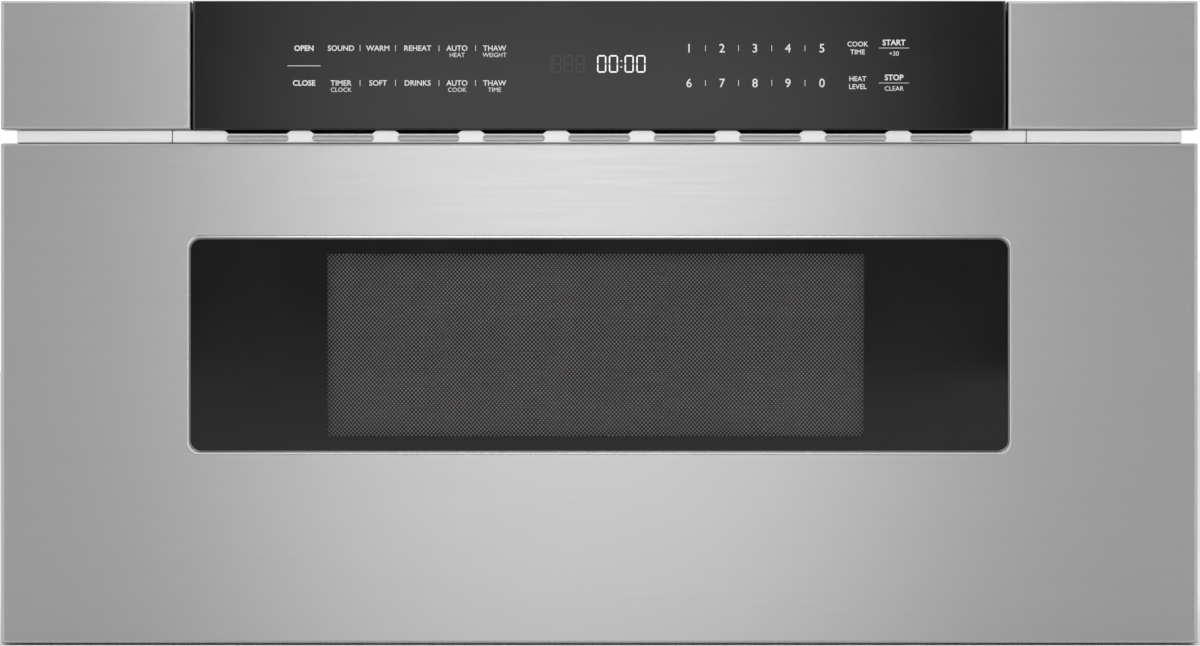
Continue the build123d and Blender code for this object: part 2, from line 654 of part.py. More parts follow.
def rack_outline():
    """The rack from its side: a tooth gap stands over the pinion's axis, and the others follow from it."""
    points = [(at_depth(PAN_BACK), RACK_TOP_Z), (at_depth(PAN_BACK), RACK_TIP_Z)]
    wide = GAP_HALF + GEAR_MODULE * FLANK
    narrow = GAP_HALF - DEDENDUM * FLANK
    for gap in range(-GAPS_IN_FRONT, GAPS_BEHIND + 1):
        middle = at_depth(PINION_DEPTH + gap * TOOTH_PITCH)
        points += [(middle - wide, RACK_TIP_Z), (middle - narrow, RACK_ROOT_Z)]
        points += [(middle + narrow, RACK_ROOT_Z), (middle + wide, RACK_TIP_Z)]
    return points + [(at_depth(RACK_BACK), RACK_TIP_Z), (at_depth(RACK_BACK), RACK_TOP_Z)]


# Rack fixed to the drawer front by its foot.
with BuildPart() as drive_rack:
    with BuildSketch(Plane.YZ):
        with BuildLine():
            Polyline(*rack_outline(), close=True)
        make_face()
    extrude(amount=RACK_WIDTH / 2, both=True)
    block(about(0, RACK_FOOT_WIDTH), (PAN_BACK, PAN_BACK + RACK_FOOT_SHEET), (RACK_ROOT_Z, RACK_TOP_Z))
drive_rack.part.label = "drive_rack"
export_step(drive_rack.part, "parts/drive_rack.step")

BASE_R = PITCH_R * cos(radians(PRESSURE_ANGLE))
TIP_R = PITCH_R + GEAR_MODULE
ROOT_R = PITCH_R - DEDENDUM
PITCH_ROLL = FLANK - radians(PRESSURE_ANGLE)
FLANK_STEPS = 4


def tooth_half_angle(radius):
    """Half the tooth's angle at a radius on its involute flank."""
    roll = sqrt(max(0.0, (radius / BASE_R) ** 2 - 1))
    return (pi / GEAR_TEETH - BACKLASH / PITCH_R) / 2 + PITCH_ROLL - (roll - atan2(roll, 1))


def pinion_outline():
    """The pinion about its axis, with one tooth pointing up."""
    radii = [BASE_R + (TIP_R - BASE_R) * n / FLANK_STEPS for n in range(FLANK_STEPS + 1)]
    flank = [(ROOT_R, tooth_half_angle(BASE_R))] + [(r, tooth_half_angle(r)) for r in radii]
    points = []
    for tooth in range(GEAR_TEETH):
        up = pi / 2 - 2 * pi * tooth / GEAR_TEETH
        around = [(r, up + a) for r, a in flank] + [(r, up - a) for r, a in reversed(flank)]
        points += [(r * cos(a), r * sin(a)) for r, a in around]
    return points


# Steel pinion with its shaft, which runs in the gear case.
with BuildPart() as drive_pinion:
    with BuildSketch(Plane.YZ.offset(-GEAR_WIDTH / 2)):
        with Locations((at_depth(PINION_DEPTH), PINION_AXIS_Z)):
            with BuildLine(mode=Mode.PRIVATE) as teeth:
                Polyline(*pinion_outline(), close=True)
            add(make_face(teeth.line, mode=Mode.PRIVATE))
    extrude(amount=GEAR_WIDTH)
    with BuildSketch(Plane.YZ.offset(-GEAR_WIDTH / 2 - SHAFT_STUB)):
        with Locations((at_depth(PINION_DEPTH), PINION_AXIS_Z)):
            Circle(SHAFT_R)
    extrude(amount=SHAFT_STUB + GEAR_WIDTH + SHAFT_RUN)
drive_pinion.part.label = "drive_pinion"
export_step(drive_pinion.part, "parts/drive_pinion.step")

# Geared motor on the base plate: gear case with a shaft bore, pedestal, foot and motor can.
GEAR_CASE_GAP = 3.0
GEAR_CASE_LENGTH = 34.0
GEAR_CASE_AHEAD = 14.0
GEAR_CASE_BEHIND = 34.0
GEAR_CASE_LEFT = GEAR_WIDTH / 2 + GEAR_CASE_GAP
GEAR_CASE_X = (GEAR_CASE_LEFT, GEAR_CASE_LEFT + GEAR_CASE_LENGTH)
GEAR_CASE_DEPTH = (PINION_DEPTH - GEAR_CASE_AHEAD, PINION_DEPTH + GEAR_CASE_BEHIND)
GEAR_CASE_HEIGHT = 48.0
GEAR_CASE_ROUND = 5.0
PEDESTAL_INSET = 3.0
MOTOR_FOOT_SHEET = 3.0
MOTOR_FOOT_OVERHANG = 10.0
MOTOR_SETBACK = 12.0
MOTOR_ROUND = 3.0
with BuildPart() as gear_motor:
    block(GEAR_CASE_X, GEAR_CASE_DEPTH, about(PINION_AXIS_Z, GEAR_CASE_HEIGHT))
    fillet(gear_motor.edges().filter_by(Axis.X), GEAR_CASE_ROUND)
    block(
        (GEAR_CASE_X[0] + PEDESTAL_INSET, GEAR_CASE_X[1] - PEDESTAL_INSET),
        (GEAR_CASE_DEPTH[0] + GEAR_CASE_ROUND, GEAR_CASE_DEPTH[1] - GEAR_CASE_ROUND),
        (BASE_SHEET, PINION_AXIS_Z),
    )
    block(
        (GEAR_CASE_X[0], GEAR_CASE_X[1] + MOTOR_FOOT_OVERHANG),
        (GEAR_CASE_DEPTH[0], GEAR_CASE_DEPTH[1] + MOTOR_FOOT_OVERHANG),
        (BASE_SHEET, BASE_SHEET + MOTOR_FOOT_SHEET),
    )
    with BuildSketch(Plane.YZ.offset(GEAR_CASE_X[1])):
        with Locations((at_depth(PINION_DEPTH + MOTOR_SETBACK), PINION_AXIS_Z)):
            Circle(MOTOR_R)
    extrude(amount=MOTOR_LENGTH)
    fillet(gear_motor.faces().sort_by(Axis.X)[-1].edges(), MOTOR_ROUND)
    with BuildSketch(Plane.YZ.offset(GEAR_CASE_X[0])):
        with Locations((at_depth(PINION_DEPTH), PINION_AXIS_Z)):
            Circle(SHAFT_R + RUN_PLAY)
    extrude(amount=SHAFT_RUN, mode=Mode.SUBTRACT)
gear_motor.part.label = "gear_motor"
export_step(gear_motor.part, "parts/gear_motor.step")

# =====================================================================
# Mounting frame, reveal strips and wings
# =====================================================================

SLOT_MARGIN = 2.0
WIRE_HOLE = (64.0, 22.0)
RACK_SLOT = (40.0, 24.0)
VENT_WEB = 2.0

# Pressed steel frame: it laps the cabinet's face, and everything at the front seats on it.
with BuildPart() as front_frame:
    with BuildSketch(facing_front(FRONT_PROJECTION)):
        with Locations((0, FRAME_TOP_Z / 2)):
            RectangleRounded(FRAME_WIDTH, FRAME_TOP_Z, FRAME_CORNER)
        with Locations((0, WINDOW_Z)):
            Rectangle(CAVITY_WIDTH, CAVITY_HEIGHT, mode=Mode.SUBTRACT)
        for side, hand in SIDES:
            slot = side_of(hand, ARM_INNER_X - SLOT_MARGIN, ARM_OUTER_X + ARM_FOOT + SLOT_MARGIN)
            with Locations(((slot[0] + slot[1]) / 2, SLIDE_Z)):
                Rectangle(slot[1] - slot[0], SLIDE_HEIGHT + 4 * SLOT_MARGIN, mode=Mode.SUBTRACT)
            with Locations((hand * LATCH_X, LATCH_Z)):
                Rectangle(LATCH_SLOT, LATCH_SLOT, mode=Mode.SUBTRACT)
        with Locations((0, (RACK_TOP_Z + RACK_TIP_Z) / 2)):
            Rectangle(*RACK_SLOT, mode=Mode.SUBTRACT)
        with Locations((RIBBON_X, BAND_MID_Z)):
            Rectangle(*WIRE_HOLE, mode=Mode.SUBTRACT)
        with Locations((0, VENT_Z)):
            with GridLocations(LOUVRE_PITCH, 0, LOUVRE_COUNT, 1):
                Rectangle(LOUVRE_WIDTH - 2 * LOUVRE_SLOPE, REVEAL_HEIGHT - 2 * VENT_WEB, mode=Mode.SUBTRACT)
        with Locations((0, MOUNT_HOLE_LOW + MOUNT_HOLE_RISE / 2)):
            with GridLocations(FRAME_WIDTH - 2 * MOUNT_HOLE_INSET, MOUNT_HOLE_RISE, 2, 2):
                Circle(MOUNT_HOLE_R, mode=Mode.SUBTRACT)
    extrude(amount=-FRAME_SHEET)
front_frame.part.label = "front_frame"
export_step(front_frame.part, "parts/front_frame.step")

STRIP_Z = (DRAWER_TOP_Z + REVEAL_SHADOW, BAND_BOTTOM_Z - REVEAL_SHADOW)


def strip_channel(x):
    """A channel section along X that stands on the frame and shows its rounded web in the reveal."""
    height = STRIP_Z[1] - STRIP_Z[0]
    depth = FRONT_PROJECTION - REVEAL_SETBACK
    with BuildSketch(Plane.YZ.offset(x[0])) as section:
        with Locations((at_depth(REVEAL_SETBACK + depth / 2), VENT_Z)):
            Rectangle(depth, height)
        fillet(section.vertices().group_by(Axis.X)[0], REVEAL_BEND)
        with Locations((at_depth(FRONT_PROJECTION - (depth - PANEL_SHEET) / 2), VENT_Z)):
            Rectangle(depth - PANEL_SHEET, height - 2 * PANEL_SHEET, mode=Mode.SUBTRACT)
    extrude(section.sketch, amount=x[1] - x[0])


# Centre strip with its pressed louvres: each has a notch through the top edge, a round lip under the notch
# and a long round-ended hollow below the lip.
LOUVRE_HOLLOW = sqrt(LOUVRE_PRESS * (2 * LOUVRE_PRESS_R - LOUVRE_PRESS))
LOUVRE_Z = STRIP_Z[1] - LOUVRE_OPENING - LOUVRE_LIP - LOUVRE_HOLLOW
LOUVRE_TAPER = 30.0
NOTCH_WIDTH = LOUVRE_WIDTH - 2 * LOUVRE_SLOPE


def round_ended(length, radius, mode=Mode.ADD):
    """A bar along X with ball ends, its length counted between the centres of the balls."""
    Cylinder(radius, length, rotation=(0, 90, 0), mode=mode)
    with GridLocations(length, 0, 2, 1):
        Sphere(radius, mode=mode)


with BuildPart() as vent_rail:
    strip_channel(about(0, VENT_RAIL_WIDTH))
    with BuildSketch(facing_front(REVEAL_SETBACK + PANEL_SHEET)):
        with Locations((0, LOUVRE_Z)):
            with GridLocations(LOUVRE_PITCH, 0, LOUVRE_COUNT, 1):
                SlotOverall(LOUVRE_WIDTH - LOUVRE_SLOPE, 2 * LOUVRE_HOLLOW)
    extrude(amount=-LOUVRE_PRESS, taper=LOUVRE_TAPER)
    with Locations((0, at_depth(REVEAL_SETBACK + LOUVRE_PRESS - LOUVRE_PRESS_R), LOUVRE_Z)):
        with GridLocations(LOUVRE_PITCH, 0, LOUVRE_COUNT, 1):
            round_ended(LOUVRE_WIDTH - LOUVRE_SLOPE - 2 * LOUVRE_HOLLOW, LOUVRE_PRESS_R, Mode.SUBTRACT)
    with Locations((0, at_depth(REVEAL_SETBACK), STRIP_Z[1] - LOUVRE_OPENING - LOUVRE_LIP_R)):
        with GridLocations(LOUVRE_PITCH, 0, LOUVRE_COUNT, 1):
            round_ended(NOTCH_WIDTH, LOUVRE_LIP_R)
    with BuildSketch(facing_front(0)):
        with Locations((0, STRIP_Z[1])):
            with GridLocations(LOUVRE_PITCH, 0, LOUVRE_COUNT, 1):
                with BuildLine(mode=Mode.PRIVATE) as notch:
                    Polyline(
                        (-LOUVRE_WIDTH / 2, 0),
                        (-NOTCH_WIDTH / 2, -LOUVRE_OPENING),
                        (NOTCH_WIDTH / 2, -LOUVRE_OPENING),
                        (LOUVRE_WIDTH / 2, 0),
                        close=True,
                    )
                add(make_face(notch.line, mode=Mode.PRIVATE))
    extrude(amount=-FRONT_PROJECTION, mode=Mode.SUBTRACT)
vent_rail.part.label = "vent_rail"
export_step(vent_rail.part, "parts/vent_rail.step")

# Plain strips that carry the reveal on to both ends of the frame.
with BuildPart() as reveal_strips:
    for side, hand in SIDES:
        strip_channel(side_of(hand, VENT_RAIL_WIDTH / 2 + SEAM_GAP, FRAME_WIDTH / 2))
reveal_strips.part.label = "reveal_strips"
export_step(reveal_strips.part, "parts/reveal_strips.step")

# Brushed stainless end pans left and right of the touch glass.
WING_INNER_X = GLASS_WIDTH / 2 + WING_GAP
for side, hand in SIDES:
    with BuildPart() as wing:
        wing_middle = (hand * (WING_INNER_X + FRONT_WIDTH / 2) / 2, BAND_MID_Z)
        panel_pan(wing_middle, FRONT_WIDTH / 2 - WING_INNER_X, BAND_HEIGHT, FRONT_PROJECTION)
    wing.part.label = f"{side}_wing"
    export_step(wing.part, f"parts/{side}_wing.step")

# =====================================================================
# Control band
# =====================================================================

GLASS_HEIGHT = BAND_HEIGHT - 2 * GLASS_MARGIN

# Black touch glass, flush with the wings.
with BuildPart() as control_glass:
    with BuildSketch(facing_front(0)):
        with Locations((0, BAND_MID_Z)):
            RectangleRounded(GLASS_WIDTH, GLASS_HEIGHT, GLASS_CORNER)
    extrude(amount=-GLASS_THICKNESS)
    chamfer(control_glass.faces().sort_by(Axis.Y)[0].edges(), GLASS_BEVEL)
control_glass.part.label = "control_glass"
export_step(control_glass.part, "parts/control_glass.step")

TOUCH_BOARD_FRONT = GLASS_THICKNESS + FIT_GAP
TOUCH_BOARD_BACK = TOUCH_BOARD_FRONT + BOARD_THICKNESS
HOUSING_WIDTH = GLASS_WIDTH + 2 * HOUSING_RIM
HOUSING_INSIDE = (HOUSING_WIDTH - 4 * HOUSING_WALL, BAND_HEIGHT - 4 * HOUSING_WALL)
HOUSING_BACK_WALL = FRONT_PROJECTION - HOUSING_WALL
BOSS_R = 3.0
BOSS_INSET = 8.0
BOSS_COLUMNS = 4

# Moulded carrier: a rim round the glass, a shelf behind it, a back wall on the frame, and the board's bosses.
with BuildPart() as control_housing:
    with BuildSketch(facing_front(HOUSING_SETBACK)):
        with Locations((0, BAND_MID_Z)):
            Rectangle(HOUSING_WIDTH, BAND_HEIGHT)
    extrude(amount=-(FRONT_PROJECTION - HOUSING_SETBACK))
    with BuildSketch(facing_front(HOUSING_SETBACK)):
        with Locations((0, BAND_MID_Z)):
            RectangleRounded(GLASS_WIDTH + FIT_GAP, GLASS_HEIGHT + FIT_GAP, GLASS_CORNER)
    extrude(amount=-(GLASS_THICKNESS - HOUSING_SETBACK), mode=Mode.SUBTRACT)
    with BuildSketch(facing_front(GLASS_THICKNESS)):
        with Locations((0, BAND_MID_Z)):
            Rectangle(*HOUSING_INSIDE)
    extrude(amount=-(HOUSING_BACK_WALL - GLASS_THICKNESS), mode=Mode.SUBTRACT)
    with BuildSketch(facing_front(HOUSING_BACK_WALL)):
        with Locations((RIBBON_X, BAND_MID_Z)):
            Rectangle(*WIRE_HOLE)
    extrude(amount=-HOUSING_WALL, mode=Mode.SUBTRACT)
    with BuildSketch(facing_front(TOUCH_BOARD_BACK)):
        with Locations((0, BAND_MID_Z)):
            with GridLocations(
                (TOUCH_BOARD_WIDTH - 2 * BOSS_INSET) / (BOSS_COLUMNS - 1),
                TOUCH_BOARD_HEIGHT - 2 * BOSS_INSET,
                BOSS_COLUMNS,
                2,
            ):
                Circle(BOSS_R)
    extrude(amount=-(HOUSING_BACK_WALL - TOUCH_BOARD_BACK))
control_housing.part.label = "control_housing"
export_step(control_housing.part, "parts/control_housing.step")

DISPLAY_Z = BAND_MID_Z + DISPLAY_RISE
DISPLAY_BODY_MARGIN = 3.0
DISPLAY_BODY_DEPTH = 8.0
SOCKET_DEPTH = 5.0
SOCKET_HEIGHT = 8.0
SOCKET_CHEEK = 2.0
SOCKET_WIDTH = RIBBON_WIDTH + 2 * SOCKET_CHEEK
SOCKET_X = about(RIBBON_X, SOCKET_WIDTH)
TOUCH_CHIP = (20.0, 3.0, 20.0)
TOUCH_CHIP_X = -180.0

# Touch-sensing board behind the glass, with a cut-out for the display, its controller and a cable socket.
with BuildPart() as touch_board:
    with BuildSketch(facing_front(TOUCH_BOARD_FRONT)):
        with Locations((0, BAND_MID_Z)):
            Rectangle(TOUCH_BOARD_WIDTH, TOUCH_BOARD_HEIGHT)
        with Locations((DISPLAY_X, DISPLAY_Z)):
            Rectangle(DISPLAY_WIDTH + 2 * FIT_GAP, DISPLAY_HEIGHT + 2 * FIT_GAP, mode=Mode.SUBTRACT)
    extrude(amount=-BOARD_THICKNESS)
    block(SOCKET_X, (TOUCH_BOARD_BACK, TOUCH_BOARD_BACK + SOCKET_DEPTH), about(BAND_MID_Z, SOCKET_HEIGHT))
    block(
        about(TOUCH_CHIP_X, TOUCH_CHIP[0]),
        (TOUCH_BOARD_BACK, TOUCH_BOARD_BACK + TOUCH_CHIP[1]),
        about(BAND_MID_Z, TOUCH_CHIP[2]),
    )
touch_board.part.label = "touch_board"
export_step(touch_board.part, "parts/touch_board.step")

# Display module: its lit nose passes through the board and looks out through the glass.
with BuildPart() as display_module:
    with BuildSketch(facing_front(TOUCH_BOARD_FRONT)):
        with Locations((DISPLAY_X, DISPLAY_Z)):
            Rectangle(DISPLAY_WIDTH, DISPLAY_HEIGHT)
    extrude(amount=-BOARD_THICKNESS)
    with BuildSketch(facing_front(TOUCH_BOARD_BACK)):
        with Locations((DISPLAY_X, DISPLAY_Z)):
            Rectangle(DISPLAY_WIDTH + 2 * DISPLAY_BODY_MARGIN, DISPLAY_HEIGHT + 2 * DISPLAY_BODY_MARGIN)
    extrude(amount=-DISPLAY_BODY_DEPTH)
display_module.part.label = "display_module"
export_step(display_module.part, "parts/display_module.step")

POWER_BOARD = (210.0, 48.0)
POWER_STANDOFF = 9.0
POWER_DROP = 28.0
RELAY = (18.0, 16.0, 20.0)
RELAY_PITCH = 24.0
RELAY_COUNT = 3
RELAY_X = -83.0
SUPPLY_COIL = (40.0, 26.0, 32.0)
SUPPLY_COIL_X = 6.0
BULK_CAP_R = 6.0
BULK_CAP_DEPTH = 20.0
POWER_FRONT = FRAME_BACK + POWER_STANDOFF
POWER_BACK = POWER_FRONT + BOARD_THICKNESS
POWER_Z = CASE_HEIGHT - POWER_DROP
POWER_SOCKET_Z = POWER_Z + POWER_BOARD[1] / 2 - SOCKET_HEIGHT
RIBBON_BEND = 3.0
RIBBON_THICKNESS = 0.9
RIBBON_LOOP = 14.0

# Power board on pillars behind the frame, with relays, supply coil, capacitors and cable socket.
with BuildPart() as power_board:
    with BuildSketch(facing_front(POWER_FRONT)):
        with Locations((0, POWER_Z)):
            Rectangle(*POWER_BOARD)
        with Locations((RIBBON_X, BAND_MID_Z)):
            Rectangle(RIBBON_WIDTH + 2 * SLOT_MARGIN, 2 * RIBBON_BEND, mode=Mode.SUBTRACT)
    extrude(amount=-BOARD_THICKNESS)
    with BuildSketch(facing_front(FRAME_BACK)):
        with Locations((0, POWER_Z)):
            with GridLocations(POWER_BOARD[0] - 2 * BOSS_INSET, POWER_BOARD[1] - 2 * BOSS_INSET, 2, 2):
                Circle(BOSS_R)
    extrude(amount=-POWER_STANDOFF)
    for relay in range(RELAY_COUNT):
        relay_x = about(RELAY_X + RELAY_PITCH * relay, RELAY[0])
        block(relay_x, (POWER_BACK, POWER_BACK + RELAY[1]), about(POWER_Z - RELAY[2] / 2, RELAY[2]))
    block(
        about(SUPPLY_COIL_X, SUPPLY_COIL[0]),
        (POWER_BACK, POWER_BACK + SUPPLY_COIL[1]),
        about(POWER_Z, SUPPLY_COIL[2]),
    )
    block(SOCKET_X, (POWER_BACK, POWER_BACK + SOCKET_DEPTH), about(POWER_SOCKET_Z, SOCKET_HEIGHT))
    with BuildSketch(facing_front(POWER_BACK)):
        with Locations((RELAY_X + RELAY_PITCH / 2, POWER_Z + RELAY[2] / 2)):
            with GridLocations(RELAY_PITCH, 0, 2, 1):
                Circle(BULK_CAP_R)
    extrude(amount=-BULK_CAP_DEPTH)
power_board.part.label = "power_board"
export_step(power_board.part, "parts/power_board.step")

# Flat ribbon cable from the touch board's socket, through the frame, round to the power board's socket.
with BuildPart() as ribbon_cable:
    with BuildSketch(Plane.YZ.offset(RIBBON_X - RIBBON_WIDTH / 2)):
        with BuildLine():
            FilletPolyline(
                (at_depth(TOUCH_BOARD_BACK + SOCKET_DEPTH), BAND_MID_Z),
                (at_depth(POWER_BACK + RIBBON_LOOP), BAND_MID_Z),
                (at_depth(POWER_BACK + RIBBON_LOOP), POWER_SOCKET_Z),
                (at_depth(POWER_BACK + SOCKET_DEPTH), POWER_SOCKET_Z),
                radius=RIBBON_BEND,
            )
        trace(line_width=RIBBON_THICKNESS)
    extrude(amount=RIBBON_WIDTH)
ribbon_cable.part.label = "ribbon_cable"
export_step(ribbon_cable.part, "parts/ribbon_cable.step")

# =====================================================================
# Case
# =====================================================================

SCREW_SPAN = CASE_WIDTH - REAR_FLANGE - 2 * CASE_SHEET
SIDE_VENT_DROP = 92.0
SIDE_VENTS = 8
TOP_VENTS = 24
BASE_VENTS = 10
BASE_VENT_X = -200.0
PANEL_VENTS = 6
PANEL_VENT_Z = 210.0
PANEL_VENT_RISE = 180.0
GRILLE_RINGS = 5
GRILLE_FIRST_RING = 6
GRILLE_RIM_SHARE = 0.6
GRILLE_RING_STEP = FAN_BORE_R / (GRILLE_RINGS + GRILLE_RIM_SHARE)
GRILLE_HOLE_R = 3.6
SCREW_ROUND = 0.7
RIB_DEPTHS = (FRAME_BACK + RIB_MARGIN, REAR_PARTS_DEPTH - VENT_LENGTH / 2 - RIB_MARGIN)
RIB_LENGTH = RIB_DEPTHS[1] - RIB_DEPTHS[0]
RIB_MIDDLE = (RIB_DEPTHS[0] + RIB_DEPTHS[1]) / 2


def ribs(outside, middle, pitch, across, up, length, turn=0):
    """Stiffening ribs pressed outwards from a sheet whose outer face is that plane."""
    for sheet, mode in ((0, Mode.ADD), (CASE_SHEET, Mode.SUBTRACT)):
        with BuildSketch(outside.offset(-sheet)) as outline:
            with Locations(middle):
                with GridLocations(pitch, pitch, across, up):
                    SlotOverall(length, RIB_WIDTH, rotation=turn)
        extrude(outline.sketch, amount=RIB_RISE, taper=RIB_TAPER, mode=mode)


def screw_places(radius):
    """The six screw places of the back panel, as circles of one radius."""
    with Locations((0, (SCREW_LOW_Z + SCREW_HIGH_Z) / 2)):
        with GridLocations(SCREW_SPAN, (SCREW_HIGH_Z - SCREW_LOW_Z) / 2, 2, 3):
            Circle(radius)


# Galvanised wrapper: top and both sides in one sheet, with a turned-in flange at the back. Ribs run from
# front to back between the frame and the vents.
with BuildPart() as outer_wrap:
    block(about(0, CASE_WIDTH), (FRAME_BACK, PANEL_FRONT), (CASE_LIFT, CASE_HEIGHT))
    fillet(outer_wrap.edges().filter_by(Axis.Y).group_by(Axis.Z)[-1], 2 * CASE_SHEET)
    block(
        about(0, CASE_WIDTH - 2 * CASE_SHEET),
        (FRAME_BACK, PANEL_FRONT - CASE_SHEET),
        (CASE_LIFT, CASE_HEIGHT - CASE_SHEET),
        mode=Mode.SUBTRACT,
    )
    block(
        about(0, CASE_WIDTH - 2 * REAR_FLANGE),
        (PANEL_FRONT - CASE_SHEET, PANEL_FRONT),
        (CASE_LIFT, CASE_HEIGHT - REAR_FLANGE),
        mode=Mode.SUBTRACT,
    )
    with BuildSketch(Plane.YZ.offset(-CASE_WIDTH / 2)):
        with Locations((at_depth(REAR_PARTS_DEPTH), CASE_HEIGHT - SIDE_VENT_DROP)):
            with GridLocations(0, VENT_PITCH, 1, SIDE_VENTS):
                SlotOverall(VENT_LENGTH, VENT_WIDTH)
    extrude(amount=CASE_WIDTH, mode=Mode.SUBTRACT)
    with BuildSketch(Plane.XY.offset(CASE_HEIGHT - CASE_SHEET)):
        with Locations((0, at_depth(REAR_PARTS_DEPTH))):
            with GridLocations(VENT_PITCH, 0, TOP_VENTS, 1):
                SlotOverall(VENT_LENGTH, VENT_WIDTH, rotation=90)
    extrude(amount=CASE_SHEET, mode=Mode.SUBTRACT)
    with BuildSketch(facing_front(PANEL_FRONT - CASE_SHEET)):
        screw_places(SCREW_R + HOLE_PLAY)
    extrude(amount=-CASE_SHEET, mode=Mode.SUBTRACT)
    roof_middle = (0, at_depth(RIB_MIDDLE))
    ribs(Plane.XY.offset(CASE_HEIGHT), roof_middle, CASE_WIDTH / (TOP_RIBS + 1), TOP_RIBS, 1, RIB_LENGTH, 90)
    for side, hand in SIDES:
        wall = Plane(origin=(hand * CASE_WIDTH / 2, 0, 0), x_dir=(0, hand, 0), z_dir=(hand, 0, 0))
        wall_middle = (hand * at_depth(RIB_MIDDLE), CASE_HEIGHT / 2)
        ribs(wall, wall_middle, CASE_HEIGHT / (SIDE_RIBS + 1), 1, SIDE_RIBS, RIB_LENGTH)
outer_wrap.part.label = "outer_wrap"
export_step(outer_wrap.part, "parts/outer_wrap.step")

# Base plate with upturned sides, and air slots under the rear compartment.
with BuildPart() as base_plate:
    block((-BASE_HALF, BASE_HALF), (FRAME_BACK, PANEL_FRONT), (0, BASE_SHEET))
    for side, hand in SIDES:
        block(
            side_of(hand, BASE_HALF - BASE_SHEET, BASE_HALF),
            (FRAME_BACK, PANEL_FRONT - CASE_SHEET - FIT_GAP),
            (0, BASE_UPSTAND),
        )
    with BuildSketch(Plane.XY):
        with Locations((BASE_VENT_X, at_depth(REAR_PARTS_DEPTH))):
            with GridLocations(VENT_PITCH, 0, BASE_VENTS, 1):
                SlotOverall(VENT_LENGTH, VENT_WIDTH, rotation=90)
    extrude(amount=BASE_SHEET, mode=Mode.SUBTRACT)
base_plate.part.label = "base_plate"
export_step(base_plate.part, "parts/base_plate.step")

# Back panel: fan grille, outlet slots, cord hole and screw holes, with a rib along its foot and its head.
with BuildPart() as back_panel:
    with BuildSketch(facing_front(PANEL_FRONT)):
        with Locations((0, (CASE_LIFT + CASE_HEIGHT) / 2)):
            Rectangle(2 * BASE_HALF, CASE_HEIGHT - CASE_LIFT - 2 * CASE_SHEET)
    extrude(amount=-CASE_SHEET)
    with BuildSketch(facing_front(PANEL_FRONT)):
        with Locations((FAN_X, FAN_Z)):
            for ring in range(1, GRILLE_RINGS + 1):
                with PolarLocations(ring * GRILLE_RING_STEP, GRILLE_FIRST_RING * ring):
                    Circle(GRILLE_HOLE_R)
        with Locations((TRANSFORMER_X, PANEL_VENT_Z)):
            with GridLocations(0, PANEL_VENT_RISE, 1, 2):
                with GridLocations(0, VENT_PITCH, 1, PANEL_VENTS):
                    SlotOverall(2 * VENT_LENGTH, VENT_WIDTH)
        with Locations((BUSH_X, BUSH_Z)):
            Circle(BUSH_NECK_R + HOLE_PLAY)
        screw_places(SCREW_R + HOLE_PLAY)
    extrude(amount=-CASE_SHEET, mode=Mode.SUBTRACT)
    rear = Plane(origin=(0, at_depth(CASE_BACK), 0), x_dir=(-1, 0, 0), z_dir=(0, 1, 0))
    panel_middle = (-PANEL_RIB_X, (CASE_LIFT + CASE_HEIGHT) / 2)
    panel_rib_pitch = CASE_HEIGHT - CASE_LIFT - 2 * PANEL_RIB_INSET
    ribs(rear, panel_middle, panel_rib_pitch, 1, 2, PANEL_RIB_LENGTH)
back_panel.part.label = "back_panel"
export_step(back_panel.part, "parts/back_panel.step")

# Pan-head screws that hold the back panel to the wrapper.
with BuildPart() as case_screws:
    with BuildSketch(facing_front(CASE_BACK)):
        screw_places(SCREW_HEAD_R)
    extrude(amount=-SCREW_HEAD_HEIGHT)
    fillet(case_screws.faces().group_by(Axis.Y)[-1].edges(), SCREW_ROUND)
    with BuildSketch(facing_front(CASE_BACK)):
        screw_places(SCREW_R)
    extrude(amount=SCREW_LENGTH)
case_screws.part.label = "case_screws"
export_step(case_screws.part, "parts/case_screws.step")

# Bush that lines the hole for a mains lead.
with BuildPart() as cord_bush:
    with BuildSketch(facing_front(CASE_BACK)):
        with Locations((BUSH_X, BUSH_Z)):
            Circle(BUSH_FLANGE_R)
    extrude(amount=-REAR_TRIM)
    with BuildSketch(facing_front(CASE_BACK)):
        with Locations((BUSH_X, BUSH_Z)):
            Circle(BUSH_NECK_R)
    extrude(amount=BUSH_LENGTH - REAR_TRIM)
    with BuildSketch(facing_front(CASE_BACK + REAR_TRIM)):
        with Locations((BUSH_X, BUSH_Z)):
            Circle(BUSH_BORE_R)
    extrude(amount=BUSH_LENGTH, mode=Mode.SUBTRACT)
cord_bush.part.label = "cord_bush"
export_step(cord_bush.part, "parts/cord_bush.step")

# =====================================================================
# Oven box
# =====================================================================

OVEN_X = (-CAVITY_HALF - CAVITY_SHEET, CAVITY_HALF + CAVITY_SHEET)
LAMP_SETBACK = 60.0
LAMP_DROP = 49.0
LAMP_SIDE = 44.0
LAMP_REACH = 30.0
LAMP_WALL = 1.2
BULB_R = 8.0
BULB_LENGTH = 18.0
BULB_ROUND = 4.0
LAMP_HOLE_R = 1.8
LAMP_HOLE_PITCH = 6.0
LAMP_HOLES = 5
LAMP_MIDDLE = CAVITY_MIDDLE + LAMP_SETBACK
LAMP_Z = CAVITY_TOP_Z - LAMP_DROP

